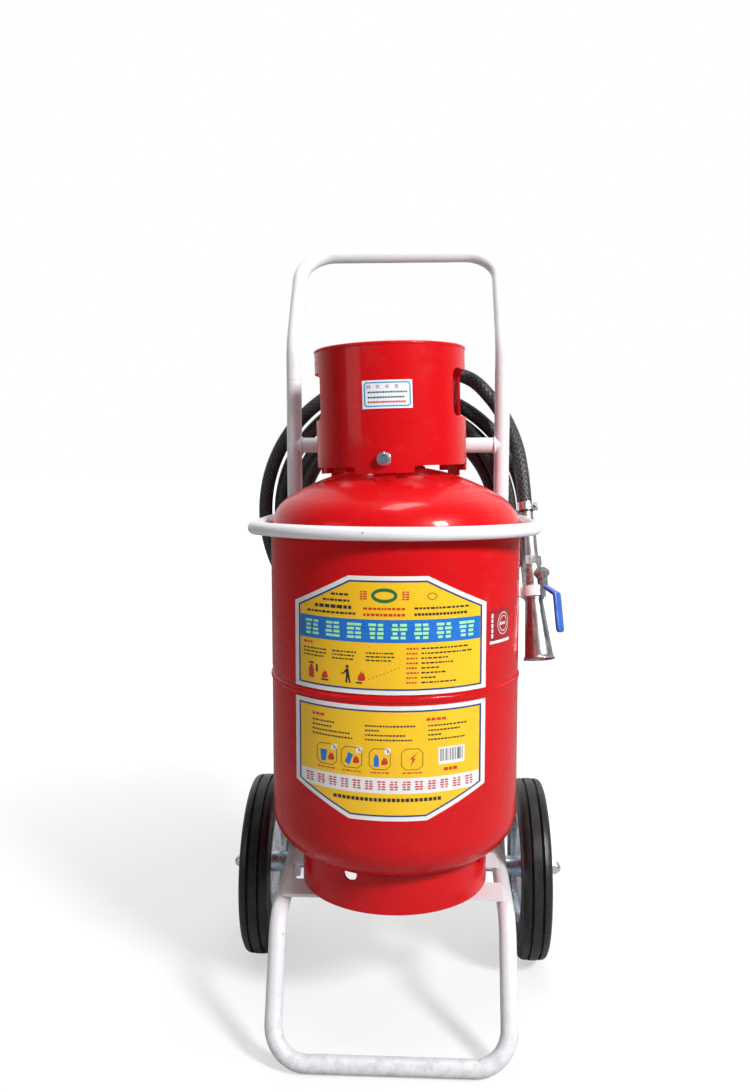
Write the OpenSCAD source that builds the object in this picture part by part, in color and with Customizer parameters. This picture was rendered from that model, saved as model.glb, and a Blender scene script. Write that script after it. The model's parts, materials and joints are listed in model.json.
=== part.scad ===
// Wheeled dry-powder fire extinguisher: a 35 litre class welded cylinder with a bolted valve
// guard, standing on a bent-tube trolley with two solid-rubber wheels, a coiled discharge hose
// and a hand-held discharge gun.
// Millimetres. +Z up, front of the cylinder towards -Y, right-hand side +X.
// Origin: on the floor, at the middle of the trolley's footprint.

/* [Cylinder] */
// Outer diameter of the pressure cylinder
tank_d = 318; // [310:1:322]
// Straight height between the two domed ends
tank_straight = 360; // [350:1:364]
// Wall thickness of the pressure cylinder
tank_wall = 2.8; // [2:0.1:4]
// Outer diameter of the foot ring under the cylinder
foot_ring_d = 242; // [220:1:260]
// Height of powder above the lower end of the straight wall
powder_level = 300; // [100:10:340]

/* [Valve guard] */
// Outer diameter of the valve guard
collar_d = 190; // [186:1:196]
// Height of the valve guard
collar_h = 144; // [136:1:150]
// Sheet thickness of the valve guard
collar_wall = 3; // [2:0.5:4]
// Turn of the valve guard about the cylinder's axis, in degrees
collar_turn = -4; // [-9:1:-2]
// Sideways shift of the valve guard on its lugs
collar_shift = -4; // [-5:0.5:0]
// Lean of the valve guard to its left, in degrees
collar_lean = 1.6; // [0:0.2:2]

/* [Trolley] */
// Outer diameter of the frame tube
tube_d = 21; // [20:0.5:22]
// Wall thickness of the frame tube
tube_wall = 2; // [1.5:0.5:3]
// Distance between the centres of the two upright rails
rail_gap = 290; // [286:1:294]
// Distance between the centres of the two front legs
leg_gap = 278; // [270:1:286]
// Height of the seat on which the foot ring stands
seat_z = 166; // [164:1:170]
// Reach of the foot bar in front of the cylinder's axis
foot_reach = 175; // [172:1:180]
// Reach of the handle behind the cylinder's axis
handle_reach = 218; // [205:1:224]
// Height of the middle of the handle's grip
handle_z = 1014; // [1000:1:1025]
// Height at which the rails bend backwards
bend_z = 871; // [865:1:880]

/* [Wheels] */
// Outer diameter of a wheel
wheel_d = 250; // [246:1:252]
// Width of a tyre
tyre_w = 40; // [36:1:42]
// Distance between the middles of the two tyres
track = 382; // [380:1:390]
// Diameter of the axle
axle_d = 16; // [14:1:18]

/* [Hose and gun] */
// Outer diameter of the hose
hose_d = 20; // [18:1:20]
// Lean of the discharge gun from vertical, in degrees
gun_lean = 4; // [3:0.5:5]
// Tilt of the discharge gun, its mouth towards the front, in degrees
gun_tilt = 18; // [17:1:19]
// Turn of the gun's ball valve about the gun, in degrees
gun_valve_turn = -45; // [-50:1:-30]

/* [Hidden] */
$fn = 64;

white = [0.93, 0.93, 0.94];
red = [0.80, 0.03, 0.04];
zinc = [0.72, 0.74, 0.78];
steel = [0.62, 0.62, 0.63];
black = [0.05, 0.05, 0.05];
brass = [0.75, 0.60, 0.30];
yellow = [0.98, 0.78, 0.08];

tank_r = tank_d / 2;
dome_crown_r = 0.8 * tank_d;
dome_knuckle_r = 0.154 * tank_d;
dome_drop = sqrt(pow(dome_crown_r - dome_knuckle_r, 2) - pow(tank_r - dome_knuckle_r, 2));
dome_h = dome_crown_r - dome_drop;
low_tangent_z = seat_z + dome_h + 20;
top_tangent_z = low_tangent_z + tank_straight;
dome_top_z = top_tangent_z + dome_h;
seam_z = low_tangent_z + tank_straight / 2 - 7;

tube_r = tube_d / 2;
rail_x = rail_gap / 2;
leg_x = leg_gap / 2;
rail_y = 115;
tank_y = (foot_reach + tube_r - rail_y - wheel_d / 2) / 2;
plate_t = 4;
runner_z = seat_z - plate_t - tube_r;
axle_z = wheel_d / 2;
cross_z = 733;
rail_split_z = 825;

collar_r = collar_d / 2;
collar_z = 705;
collar_top = collar_z + collar_h;
window_z = [764, 822];
lug_z = 714;

hoop_z = top_tangent_z + 4;
hoop_r = 8;
hoop_front_r = 210;
hoop_spread = 51;
hoop_corner_r = 28;
hoop_gap = 1.5;
hoop_front_y = tank_r + hoop_gap + hoop_r;
hoop_apex_y = hoop_front_y + hoop_front_r / cos(hoop_spread) - hoop_front_r;
hoop_side_turn = 90 - hoop_spread;
hoop_tangent = hoop_front_r * tan(hoop_spread) + hoop_corner_r * tan(hoop_side_turn / 2);
hoop_corner = [hoop_tangent * cos(hoop_spread), hoop_tangent * sin(hoop_spread) - hoop_apex_y];
hoop_bend_y = 48;
hoop_end = [rail_x + 7, rail_y - 13.6];

hose_r = hose_d / 2;
coil_z = 632;
coil_y = [163, 203];
coil_in = 127.5;
coil_out = 213.5;

valve_z = 722;
outlet_z = 780;
pivot = [0, 0, 820];
pin_y = -28;

gun_at = [178.5, 92, 631];
gun_stem_z = -79;

// Hose from the valve outlet into the coil
hose_lead_route = [
    [0, 57, 780], [0, 85, 780], [6, 112, 780], [24, 140, 779], [50, 163, 776],
    [82, 172, 766]
];
// Hose from the coil, behind and round the right rail, down to the gun
hose_drop_route = [
    [0, 176, 836], [40, 176, 839], [76, 174, 838], [108, 170, 826], [133, 165, 801],
    [150, 153, 775], [161.5, 142, 750], [168.6, 129, 726], [172.5, 116.5, 700],
    [174.8, 106.5, 676], [176.4, 99.9, 655], [177.8, 94.8, 639.5]
];

// Each straight run laps over its bends by bend_lap, and a bend is thinner by bend_step
bend_lap = 0.4;
bend_step = 0.02;

function unit(v) = v / norm(v);
function at(list, i) = list[max(0, min(len(list) - 1, i))];
function route_tangent(pts, i) = unit(at(pts, i + 1) - at(pts, i - 1));
function ring(p, t, ref, r, n) =
    let (u = unit(cross(t, ref)), v = cross(u, t))
    [for (k = [0:n - 1]) p + r * (cos(360 * k / n) * u + sin(360 * k / n) * v)];

// One closed tube of n sides swept along a route; ref is never parallel to the route.
// The first and last rings face along first_dir and last_dir.
module swept_tube(pts, r, n, ref, first_dir, last_dir) {
    last = len(pts) - 1;
    dirs = [for (i = [0:last]) i == 0 ? first_dir : i == last ? last_dir : route_tangent(pts, i)];
    points = [for (i = [0:last]) each ring(pts[i], dirs[i], ref, r, n)];
    sides = [for (i = [0:last - 1], k = [0:n - 1])
        [i * n + k, i * n + (k + 1) % n, (i + 1) * n + (k + 1) % n, (i + 1) * n + k]];
    ends = [[for (k = [n - 1:-1:0]) k], [for (k = [0:n - 1]) last * n + k]];
    polyhedron(points = points, faces = concat(sides, ends), convexity = 10);
}

module at_tank() {
    translate([0, tank_y, 0]) children();
}

module at_gun() {
    at_tank() translate(gun_at) rotate([-gun_tilt, -gun_lean, 0]) children();
}

module at_gun_valve() {
    at_gun() rotate([0, 0, gun_valve_turn]) children();
}

module at_collar() {
    at_tank()
        translate([collar_shift, 0, collar_z])
            rotate([0, -collar_lean, 0]) translate([0, 0, -collar_z]) children();
}

module along(dir) {
    rotate([0, acos(dir[2]), atan2(dir[1], dir[0])]) children();
}

module rod(a, b, r) {
    translate(a) along(unit(b - a)) cylinder(h = norm(b - a), r = r);
}

// Length of straight tube that the bend at corner i takes up on each side
function bend_take(pts, radii, i) =
    i == 0 || i == len(pts) - 1 ? 0 :
    let (turn = acos(unit(pts[i] - pts[i - 1]) * unit(pts[i + 1] - pts[i])))
    radii[i] * tan(turn / 2);

module bend(before, corner, after, bend_r, r) {
    d1 = unit(corner - before);
    d2 = unit(after - corner);
    turn = acos(d1 * d2);
    centre = corner + unit(d2 - d1) * bend_r / cos(turn / 2);
    ex = unit(corner - d1 * bend_r * tan(turn / 2) - centre);
    ez = cross(ex, d1);
    multmatrix([
        [ex[0], d1[0], ez[0], centre[0]],
        [ex[1], d1[1], ez[1], centre[1]],
        [ex[2], d1[2], ez[2], centre[2]],
        [0, 0, 0, 1]
    ])
        rotate_extrude(angle = turn)
            translate([bend_r, 0]) circle(r = r - bend_step);
}

// Round bar that follows straight runs joined by round bends; each run laps over its bends
module bent_bar(pts, radii, r) {
    last = len(pts) - 1;
    for (i = [0:last - 1]) {
        dir = unit(pts[i + 1] - pts[i]);
        from = bend_take(pts, radii, i) - (i == 0 ? 0 : bend_lap);
        to = norm(pts[i + 1] - pts[i]) - bend_take(pts, radii, i + 1)
            + (i + 1 == last ? 0 : bend_lap);
        translate(pts[i] + dir * from) along(dir) cylinder(h = to - from, r = r);
    }
    for (i = [1:1:last - 1])
        bend(pts[i - 1], pts[i], pts[i + 1], radii[i], r);
}

module bent_tube(pts, radii) {
    last = len(pts) - 1;
    start = pts[0] - unit(pts[1] - pts[0]);
    end = pts[last] + unit(pts[last] - pts[last - 1]);
    bore = [for (i = [0:last]) i == 0 ? start : i == last ? end : pts[i]];
    difference() {
        bent_bar(pts, radii, tube_r);
        bent_bar(bore, radii, tube_r - tube_wall);
    }
}

module tube_ring(r_out, r_in, h) {
    difference() {
        cylinder(h = h, r = r_out);
        translate([0, 0, -1]) cylinder(h = h + 2, r = r_in);
    }
}

module hex_bar(across, h) {
    cylinder(h = h, r = across / 2 / cos(30), $fn = 6);
}

/* ---- trolley ---- */

rail_route = [
    [0, -foot_reach, tube_r],
    [leg_x, -foot_reach, tube_r],
    [leg_x + 2, -98, runner_z],
    [rail_x, rail_y, runner_z],
    [rail_x, rail_y, rail_split_z]
];
rail_bends = [0, 42, 42, 45, 0];

module rail() {
    color(white) at_tank() bent_tube(rail_route, rail_bends);
}

module right_rail() {
    rail();
}

module left_rail() {
    mirror([1, 0, 0]) rail();
}

module push_handle() {
    color(white)
        at_tank()
            bent_tube(
                [
                    [rail_x, rail_y, rail_split_z],
                    [rail_x, rail_y, bend_z],
                    [rail_x, handle_reach, handle_z],
                    [-rail_x, handle_reach, handle_z],
                    [-rail_x, rail_y, bend_z],
                    [-rail_x, rail_y, rail_split_z]
                ],
                [0, 60, 50, 50, 60, 0]
            );
}

// Tube between the rails, its ends cut to fit round them
module cross_tube() {
    color(white)
        at_tank()
            difference() {
                rod([-rail_x, rail_y, cross_z], [rail_x, rail_y, cross_z], tube_r);
                rod([-rail_x, rail_y, cross_z], [rail_x, rail_y, cross_z], tube_r - tube_wall);
                for (side = [-1, 1])
                    translate([side * rail_x, rail_y, cross_z - 20]) cylinder(h = 40, r = tube_r);
            }
}

module seat_plate(y, width) {
    color(white)
        at_tank()
            translate([-leg_x, y, seat_z - plate_t]) cube([2 * leg_x, width, plate_t]);
}

module front_seat_plate() {
    seat_plate(-71, 44);
}

module rear_seat_plate() {
    seat_plate(26, 40);
}

// Plate under each rail's lower bend, with the hole that holds the axle
module axle_brackets() {
    color(white)
        at_tank()
            for (side = [-1, 1])
                difference() {
                    union() {
                        translate([side * rail_x - 4, rail_y, axle_z])
                            rotate([0, 90, 0]) cylinder(h = 8, r = 20);
                        translate([side * rail_x - 4, rail_y - 18, axle_z]) cube([8, 30, 60]);
                    }
                    translate([side * rail_x - 5, rail_y, axle_z])
                        rotate([0, 90, 0]) cylinder(h = 10, r = axle_d / 2);
                    if (side > 0)
                        bent_bar(rail_route, rail_bends, tube_r);
                    else
                        mirror([1, 0, 0]) bent_bar(rail_route, rail_bends, tube_r);
                }
}

axle_shoulder = track / 2 + 27;
stud_end = axle_shoulder + 18;

module axle() {
    color(zinc)
        at_tank()
            translate([0, rail_y, axle_z])
                rotate([0, 90, 0]) {
                    translate([0, 0, -axle_shoulder])
                        cylinder(h = 2 * axle_shoulder, r = axle_d / 2);
                    translate([0, 0, -stud_end]) cylinder(h = 2 * stud_end, r = 6);
                }
}

module at_axle_end(side) {
    at_tank()
        translate([0, rail_y, axle_z]) rotate([0, side * 90, 0]) children();
}

module axle_washers() {
    color(zinc)
        for (side = [-1, 1])
            at_axle_end(side) {
                translate([0, 0, rail_x + 4.2]) tube_ring(14, axle_d / 2, 2.5);
                translate([0, 0, axle_shoulder]) tube_ring(14, 6, 2.5);
            }
}

module axle_nuts() {
    color(zinc)
        for (side = [-1, 1])
            at_axle_end(side)
                translate([0, 0, axle_shoulder + 2.5])
                    difference() {
                        union() {
                            hex_bar(19, 10);
                            translate([0, 0, 8])
                                intersection() {
                                    sphere(r = 9);
                                    cylinder(h = 10, r = 10);
                                }
                        }
                        translate([0, 0, -1]) cylinder(h = 16.5, r = 6);
                    }
}

module at_wheel(side) {
    at_tank()
        translate([side * track / 2, rail_y, axle_z]) rotate([0, side * 90, 0]) children();
}

rim_r = 76;
tread_r = 6.6;

module tyre(side) {
    color(black)
        at_wheel(side)
            rotate_extrude(convexity = 6) {
                translate([rim_r, -tyre_w / 2 + 0.4])
                    square([wheel_d / 2 - tread_r - rim_r + 2, tyre_w - 0.8]);
                for (rib = [-1, 0, 1])
                    translate([wheel_d / 2 - tread_r, rib * (tyre_w / 2 - tread_r)])
                        circle(r = tread_r);
            }
}

// Pressed steel rim and dished web
module wheel_disc(side) {
    web = [[15, -9], [30, -9], [46, -13], [58, -13], [73, -5], [73, -2.5], [58, -10.5],
        [46, -10.5], [30, -6.5], [15, -6.5]];
    color(zinc)
        at_wheel(side)
            rotate_extrude(convexity = 6) {
                translate([rim_r - 3.5, -tyre_w / 2 + 2]) square([3.4, tyre_w - 4]);
                polygon(web);
            }
}

// Hub tube that turns on the axle, with the flange that carries the web
module hub(side) {
    inner = rail_x + 7.2 - track / 2;
    outer = axle_shoulder - 0.6 - track / 2;
    color(zinc)
        at_wheel(side)
            difference() {
                union() {
                    translate([0, 0, inner]) cylinder(h = outer - inner, r = 14.5);
                    translate([0, 0, -6.4]) cylinder(h = 4, r = 24);
                }
                translate([0, 0, inner - 1])
                    cylinder(h = outer - inner + 2, r = axle_d / 2 + 0.05);
            }
}

module left_tyre() {
    tyre(-1);
}

module left_wheel_disc() {
    wheel_disc(-1);
}

module left_hub() {
    hub(-1);
}

module right_tyre() {
    tyre(1);
}

module right_wheel_disc() {
    wheel_disc(1);
}

module right_hub() {
    hub(1);
}

module hoop_bar() {
    bent_bar(
        [
            [hoop_end[0], hoop_end[1], hoop_z],
            [hoop_corner[0], hoop_bend_y, hoop_z],
            [hoop_corner[0], hoop_corner[1], hoop_z],
            [0, -hoop_apex_y, hoop_z],
            [-hoop_corner[0], hoop_corner[1], hoop_z],
            [-hoop_corner[0], hoop_bend_y, hoop_z],
            [-hoop_end[0], hoop_end[1], hoop_z]
        ],
        [0, hoop_corner_r, hoop_corner_r, hoop_front_r, hoop_corner_r, hoop_corner_r, 0],
        hoop_r
    );
}

module retaining_hoop() {
    color(white) at_tank() hoop_bar();
}

clamp_h = 24;
clamp_bolt_x = 19;

// Two half shells round each rail, pulled together by bolts through their ears
module hoop_clamps() {
    color(white)
        at_tank()
            for (side = [-1, 1])
                translate([side * rail_x, rail_y, hoop_z - clamp_h / 2])
                    difference() {
                        union() {
                            cylinder(h = clamp_h, r = tube_r + 3);
                            translate([-26, -4, 0]) cube([52, 8, clamp_h]);
                        }
                        translate([0, 0, -1]) cylinder(h = clamp_h + 2, r = tube_r + 0.1);
                        translate([-30, -1, -1]) cube([60, 2, clamp_h + 2]);
                        for (x = [-clamp_bolt_x, clamp_bolt_x])
                            translate([x, -10, clamp_h / 2])
                                rotate([-90, 0, 0]) cylinder(h = 20, r = 3.2);
                    }
}

module hoop_bolts() {
    color(zinc)
        at_tank()
            for (side = [-1, 1], x = [-clamp_bolt_x, clamp_bolt_x])
                translate([side * rail_x + x, rail_y, hoop_z])
                    rotate([-90, 0, 0]) {
                        translate([0, 0, -8]) hex_bar(10, 4);
                        translate([0, 0, -8]) cylinder(h = 18, r = 3);
                        translate([0, 0, 4]) hex_bar(10, 4.5);
                    }
}

prong_x = 35;

// Two bent prongs welded to the back of the cross tube
module hose_hanger() {
    prong_r = 5;
    prong_z = coil_z + sqrt(coil_in * coil_in - prong_x * prong_x) - prong_r - 1.8;
    color(white)
        at_tank()
            difference() {
                for (side = [-1, 1])
                    bent_bar(
                        [[side * prong_x, rail_y + 6, cross_z + 7], [side * prong_x, 152, prong_z],
                            [side * prong_x, 212, prong_z], [side * prong_x, 212, prong_z + 28]],
                        [0, 30, 14, 0],
                        prong_r
                    );
                rod([-rail_x, rail_y, cross_z], [rail_x, rail_y, cross_z], tube_r);
            }
}

holder_z = -101.5;
strap_foot_z = 446;

// Strip hung from the hoop, with the open band that holds the gun
module gun_holder() {
    strip_w = 14;
    band_y = gun_at[1] + holder_z * sin(gun_tilt);
    color(white) {
        at_tank()
            difference() {
                translate([gun_at[0] - 17, band_y - strip_w / 2, strap_foot_z])
                    cube([3, strip_w, hoop_z - hoop_r + 3 - strap_foot_z]);
                hoop_bar();
            }
        at_gun()
            translate([0, 0, holder_z - 7])
                difference() {
                    union() {
                        cylinder(h = 14, r = 17);
                        translate([-23.6, -5, 2]) cube([10, 10, 10]);
                    }
                    translate([0, 0, -1]) cylinder(h = 16, r = 13.7);
                    translate([-6, 6, -1]) cube([12, 14, 16]);
                }
    }
}

/* ---- pressure cylinder ---- */

// Half section of a torispherical dome, its tangent line on the X axis
module dome_section(inset) {
    reach = tank_d;
    slope = (tank_r - dome_knuckle_r) / dome_drop;
    translate([tank_r - dome_knuckle_r, 0]) circle(r = dome_knuckle_r - inset, $fn = 96);
    intersection() {
        translate([0, -dome_drop]) circle(r = dome_crown_r - inset, $fn = 180);
        polygon([[0, -dome_drop], [0, reach], [slope * (reach + dome_drop), reach]]);
    }
}

module tank_section(inset) {
    intersection() {
        union() {
            translate([0, low_tangent_z]) square([tank_r - inset, tank_straight]);
            translate([0, top_tangent_z]) dome_section(inset);
            translate([0, low_tangent_z]) mirror([0, 1]) dome_section(inset);
        }
        square([tank_d, 2 * tank_d + 200]);
    }
}

module shell_section(low, high) {
    intersection() {
        difference() {
            tank_section(0);
            tank_section(tank_wall);
        }
        translate([0, low]) square([tank_d, high - low]);
    }
}

module upper_shell() {
    color(red)
        at_tank()
            difference() {
                rotate_extrude(convexity = 6) shell_section(seam_z, dome_top_z + 10);
                translate([0, 0, dome_top_z - 30]) cylinder(h = 60, r = 36);
            }
}

module lower_shell() {
    color(red)
        at_tank()
            rotate_extrude(convexity = 6) shell_section(seat_z, seam_z);
}

module weld_seam() {
    color(red)
        at_tank()
            rotate_extrude()
                difference() {
                    translate([tank_r - 3.4, seam_z]) circle(r = 5);
                    square([tank_r, 2 * seam_z]);
                }
}

module neck_boss() {
    color(red)
        at_tank()
            translate([0, 0, valve_z - 26])
                difference() {
                    cylinder(h = 26, r = 36);
                    translate([0, 0, -1]) cylinder(h = 28, r = 25);
                }
}

module foot_ring() {
    wall = 3;
    r = foot_ring_d / 2;
    notch_z = seat_z + 46;
    color(red)
        at_tank()
            difference() {
                rotate_extrude()
                    difference() {
                        translate([r - wall, seat_z]) square([wall, 60]);
                        tank_section(0);
                        translate([0, low_tangent_z - 30]) square([tank_d, 60]);
                    }
                for (turn = [-25, 65, 155, 245])
                    rotate([0, 0, turn])
                        translate([0, -r - 10, notch_z]) rotate([-90, 0, 0]) cylinder(h = 20, r = 9);
            }
}

module powder_charge() {
    color([0.85, 0.75, 0.80])
        at_tank()
            difference() {
                rotate_extrude(convexity = 6)
                    intersection() {
                        tank_section(tank_wall + 0.2);
                        square([tank_d, low_tangent_z + powder_level]);
                    }
                translate([0, 0, seat_z]) cylinder(h = tank_straight + dome_h, r = 12.6);
            }
}

/* ---- valve guard ---- */

module collar() {
    tab_half = 22;
    tab_drop = 8;
    window_half = 27;
    color(red)
        at_collar()
            rotate([0, 0, collar_turn])
                difference() {
                    rotate_extrude(convexity = 6) {
                        translate([collar_r - collar_wall, collar_z - tab_drop])
                            square([collar_wall, collar_h + tab_drop]);
                        translate([collar_r - collar_wall / 2, collar_top]) circle(r = 2.4);
                    }
                    for (turn = [0, 120, 240])
                        rotate([0, 0, turn - 90 + tab_half])
                            rotate_extrude(angle = 120 - 2 * tab_half)
                                translate([collar_r - 10, collar_z - 20])
                                    square([20, 20]);
                    for (turn = [-4, 84, 183])
                        rotate([0, 0, turn])
                            window(window_half);
                    for (turn = [0, 120, 240])
                        rotate([0, 0, turn])
                            translate([0, -collar_r - 5, lug_z])
                                rotate([-90, 0, 0]) cylinder(h = 12, r = 4.2);
                }
}

// Hand opening through the guard, centred on +X
module window(half) {
    w = (collar_r) * sin(half);
    corner = 9;
    translate([collar_r - 30, 0, 0]) {
        translate([0, -w, window_z[0] + corner])
            cube([40, 2 * w, window_z[1] - window_z[0] - 2 * corner]);
        translate([0, -w + corner, window_z[0]])
            cube([40, 2 * (w - corner), window_z[1] - window_z[0]]);
        for (y = [-w + corner, w - corner], z = [window_z[0] + corner, window_z[1] - corner])
            translate([0, y, z]) rotate([0, 90, 0]) cylinder(h = 40, r = corner);
    }
}

lug_inset = collar_wall + 1.4;
lug_t = 4;

module at_lugs() {
    at_collar()
        for (turn = [0, 120, 240])
            rotate([0, 0, turn + collar_turn]) translate([0, -collar_r, lug_z]) children();
}

module collar_lugs() {
    color(red)
        difference() {
            at_lugs()
                difference() {
                    translate([-13, lug_inset, -30]) cube([26, lug_t, 40]);
                    rotate([-90, 0, 0]) cylinder(h = 20, r = 4.2);
                }
            at_tank() rotate_extrude() tank_section(0);
        }
}

module collar_bolts() {
    color(zinc)
        at_lugs()
            rotate([-90, 0, 0]) {
                translate([0, 0, -6.9]) hex_bar(14, 5.5);
                translate([0, 0, -1.4]) cylinder(h = 1.4, r = 8.5);
                translate([0, 0, -2]) cylinder(h = 19, r = 4);
                translate([0, 0, lug_inset + lug_t]) hex_bar(13, 6);
            }
}

/* ---- valve ---- */

ear_x = [10, 15];
valve_top = 806;
cam_r = 9;
cam_offset = 3;
cam_gap = 0.8;
stem_top = pivot[2] - cam_r - cam_gap;
spring_z = [792.5, 801.5];

module valve_body() {
    color(brass)
        at_tank()
            difference() {
                union() {
                    translate([0, 0, valve_z - 24]) cylinder(h = 26, r = 24.95);
                    translate([0, 0, valve_z + 2.5]) cylinder(h = 9, r = 34);
                    translate([0, 0, valve_z]) cylinder(h = valve_top - valve_z, r = 20);
                    translate([0, 0, outlet_z]) rotate([-90, 0, 0]) cylinder(h = 42, r = 12);
                    translate([0, 0, outlet_z]) rotate([0, -90, 0]) cylinder(h = 38, r = 7);
                    for (side = [-1, 1])
                        ear(side);
                }
                translate([0, 0, valve_z - 30]) cylinder(h = 54, r = 12.05);
                translate([0, 0, valve_z + 20]) cylinder(h = 18, r = 8);
                translate([0, 0, valve_z + 36]) cylinder(h = 10, r = 6);
                translate([0, 0, valve_z + 42]) cylinder(h = 24, r = 8);
                translate([0, 0, valve_z + 60]) cylinder(h = 20, r = 4.05);
                translate([0, 0, spring_z[0] - 0.5]) cylinder(h = 40, r = 8.6);
                translate([0, 6, outlet_z]) rotate([-90, 0, 0]) cylinder(h = 60, r = 7.5);
                for (hole = [[pivot[1], 3.05], [pin_y, 2.6]])
                    translate([-30, hole[0], pivot[2]])
                        rotate([0, 90, 0]) cylinder(h = 60, r = hole[1]);
            }
}

module ear(side) {
    t = ear_x[1] - ear_x[0];
    translate([side * (ear_x[0] + t / 2) - t / 2, -36, valve_top - 8])
        cube([t, 44, pivot[2] + 8 - valve_top + 8]);
}

module neck_seal() {
    color(black)
        at_tank()
            translate([0, 0, valve_z + 1.25])
                rotate_extrude() translate([29.5, 0]) circle(r = 1.25);
}

module dip_tube() {
    color(steel)
        at_tank()
            translate([0, 0, 200]) tube_ring(12, 10, valve_z - 200 + 20);
}

module valve_stem() {
    color(steel)
        at_tank() {
            translate([0, 0, valve_z + 30]) cylinder(h = stem_top - valve_z - 30, r = 4);
            translate([0, 0, valve_z + 30]) cylinder(h = 5.7, r = 7.6);
            translate([0, 0, spring_z[1] + 0.3]) cylinder(h = 2, r = 8.3);
        }
}

module valve_spring() {
    turns = 3;
    coil_r = 6.4;
    steps = 12;
    wire_r = 0.8;
    low = spring_z[0] + wire_r;
    high = spring_z[1] - wire_r;
    pts = [for (i = [0:turns * steps])
        [coil_r * cos(360 * i / steps), coil_r * sin(360 * i / steps),
            low + (high - low) * i / (turns * steps)]];
    color(steel)
        at_tank() swept_tube(pts, wire_r, 6, [0, 0, 1], [0, 1, 0], [0, 1, 0]);
}

// Lifting lever; its off-centre hub pushes the stem down as the lever rises
module valve_lever() {
    half_w = 8;
    grip_y = -66;
    color(black)
        at_tank()
            difference() {
                translate([-half_w, 0, pivot[2]]) {
                    translate([0, cam_offset, 0])
                        rotate([0, 90, 0]) cylinder(h = 2 * half_w, r = cam_r);
                    translate([0, grip_y, -6]) cube([2 * half_w, -grip_y, 12]);
                    translate([0, grip_y, 0]) rotate([0, 90, 0])
                        cylinder(h = 2 * half_w, r = 9);
                }
                translate([-20, pivot[1], pivot[2]])
                    rotate([0, 90, 0]) cylinder(h = 40, r = 3.05);
                translate([-20, pin_y - 4, pivot[2] - 12]) cube([40, 8, 15.5]);
            }
}

module lever_pivot_pin() {
    color(steel)
        at_tank()
            translate([-18, pivot[1], pivot[2]])
                rotate([0, 90, 0]) {
                    cylinder(h = 36, r = 3);
                    cylinder(h = 2.5, r = 5);
                    translate([0, 0, 33.5]) cylinder(h = 2.5, r = 5);
                }
}

ring_eye_x = 26;

module safety_pin() {
    color(zinc)
        at_tank()
            difference() {
                translate([-17, pin_y, pivot[2]]) rotate([0, 90, 0]) {
                    cylinder(h = 36, r = 2.5);
                    translate([0, 0, 33]) cylinder(h = 2, r = 4.5);
                    translate([0, 0, 35]) cylinder(h = 12, r = 4);
                }
                translate([ring_eye_x, pin_y - 5, pivot[2]])
                    rotate([-90, 0, 0]) cylinder(h = 10, r = 2.2);
            }
}

module pull_ring() {
    color(zinc)
        at_tank()
            translate([ring_eye_x, pin_y, pivot[2] - 11])
                rotate([0, 90, 0])
                    rotate_extrude() translate([11, 0]) circle(r = 1.5);
}

gauge_x = -38;

module gauge_case() {
    color(brass)
        at_tank()
            translate([gauge_x, 0, outlet_z])
                rotate([0, -90, 0])
                    difference() {
                        cylinder(h = 14, r = 20);
                        translate([0, 0, 9]) cylinder(h = 6, r = 18);
                    }
}

module gauge_lens() {
    color([0.85, 0.92, 0.95])
        at_tank()
            translate([gauge_x - 11, 0, outlet_z])
                rotate([0, -90, 0]) cylinder(h = 2.5, r = 18);
}

module outlet_coupling() {
    color(steel)
        at_tank()
            translate([0, 42, outlet_z])
                rotate([-90, 0, 0])
                    difference() {
                        union() {
                            hex_bar(27, 12);
                            cylinder(h = 15, r = 10);
                        }
                        translate([0, 0, -1]) cylinder(h = 18, r = 7);
                    }
}

// Worm-drive clamp: band and screw housing
module hose_clamp(at_hose_r) {
    tube_ring(at_hose_r + 1.6, at_hose_r + 0.3, 11);
    difference() {
        translate([at_hose_r, -6, 1]) cube([6.5, 12, 9]);
        translate([0, 0, -1]) cylinder(h = 14, r = at_hose_r + 0.3);
    }
    translate([at_hose_r + 4, -10, 5.5]) rotate([-90, 0, 0]) cylinder(h = 20, r = 2.4);
}

module outlet_hose_clamp() {
    color(zinc)
        at_tank()
            translate([0, 61, outlet_z]) rotate([-90, 0, 0]) hose_clamp(hose_r);
}

/* ---- hose ---- */

module hose_lead() {
    color(black)
        at_tank()
            swept_tube(hose_lead_route, hose_r, 10, [0, 0, 1], [0, 1, 0], unit([85, 12, -46]));
}

module hose_coil() {
    color(black)
        at_tank()
            translate([0, coil_y[1], coil_z])
                rotate([90, 0, 0]) tube_ring(coil_out, coil_in, coil_y[1] - coil_y[0]);
}

module hose_drop() {
    color(black)
        at_tank()
            swept_tube(hose_drop_route, hose_r, 10, [0, 1, 0.2], [1, 0, 0.05],
                [cos(gun_tilt) * sin(gun_lean), -sin(gun_tilt), -cos(gun_tilt) * cos(gun_lean)]);
}

/* ---- discharge gun ---- */

module gun_hose_clamp() {
    color(zinc) at_gun() translate([0, 0, 12]) hose_clamp(hose_r);
}

module gun_inlet_pipe() {
    color(steel)
        at_gun()
            translate([0, 0, -53])
                difference() {
                    union() {
                        cylinder(h = 62, r = 9.5);
                        cylinder(h = 44, r = 11);
                    }
                    translate([0, 0, -1]) cylinder(h = 64, r = 6.5);
                }
}

module gun_nut() {
    color(steel)
        at_gun()
            translate([0, 0, -65])
                difference() {
                    hex_bar(26, 12);
                    translate([0, 0, -1]) cylinder(h = 14, r = 7);
                }
}

ball_r = 10;

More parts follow.
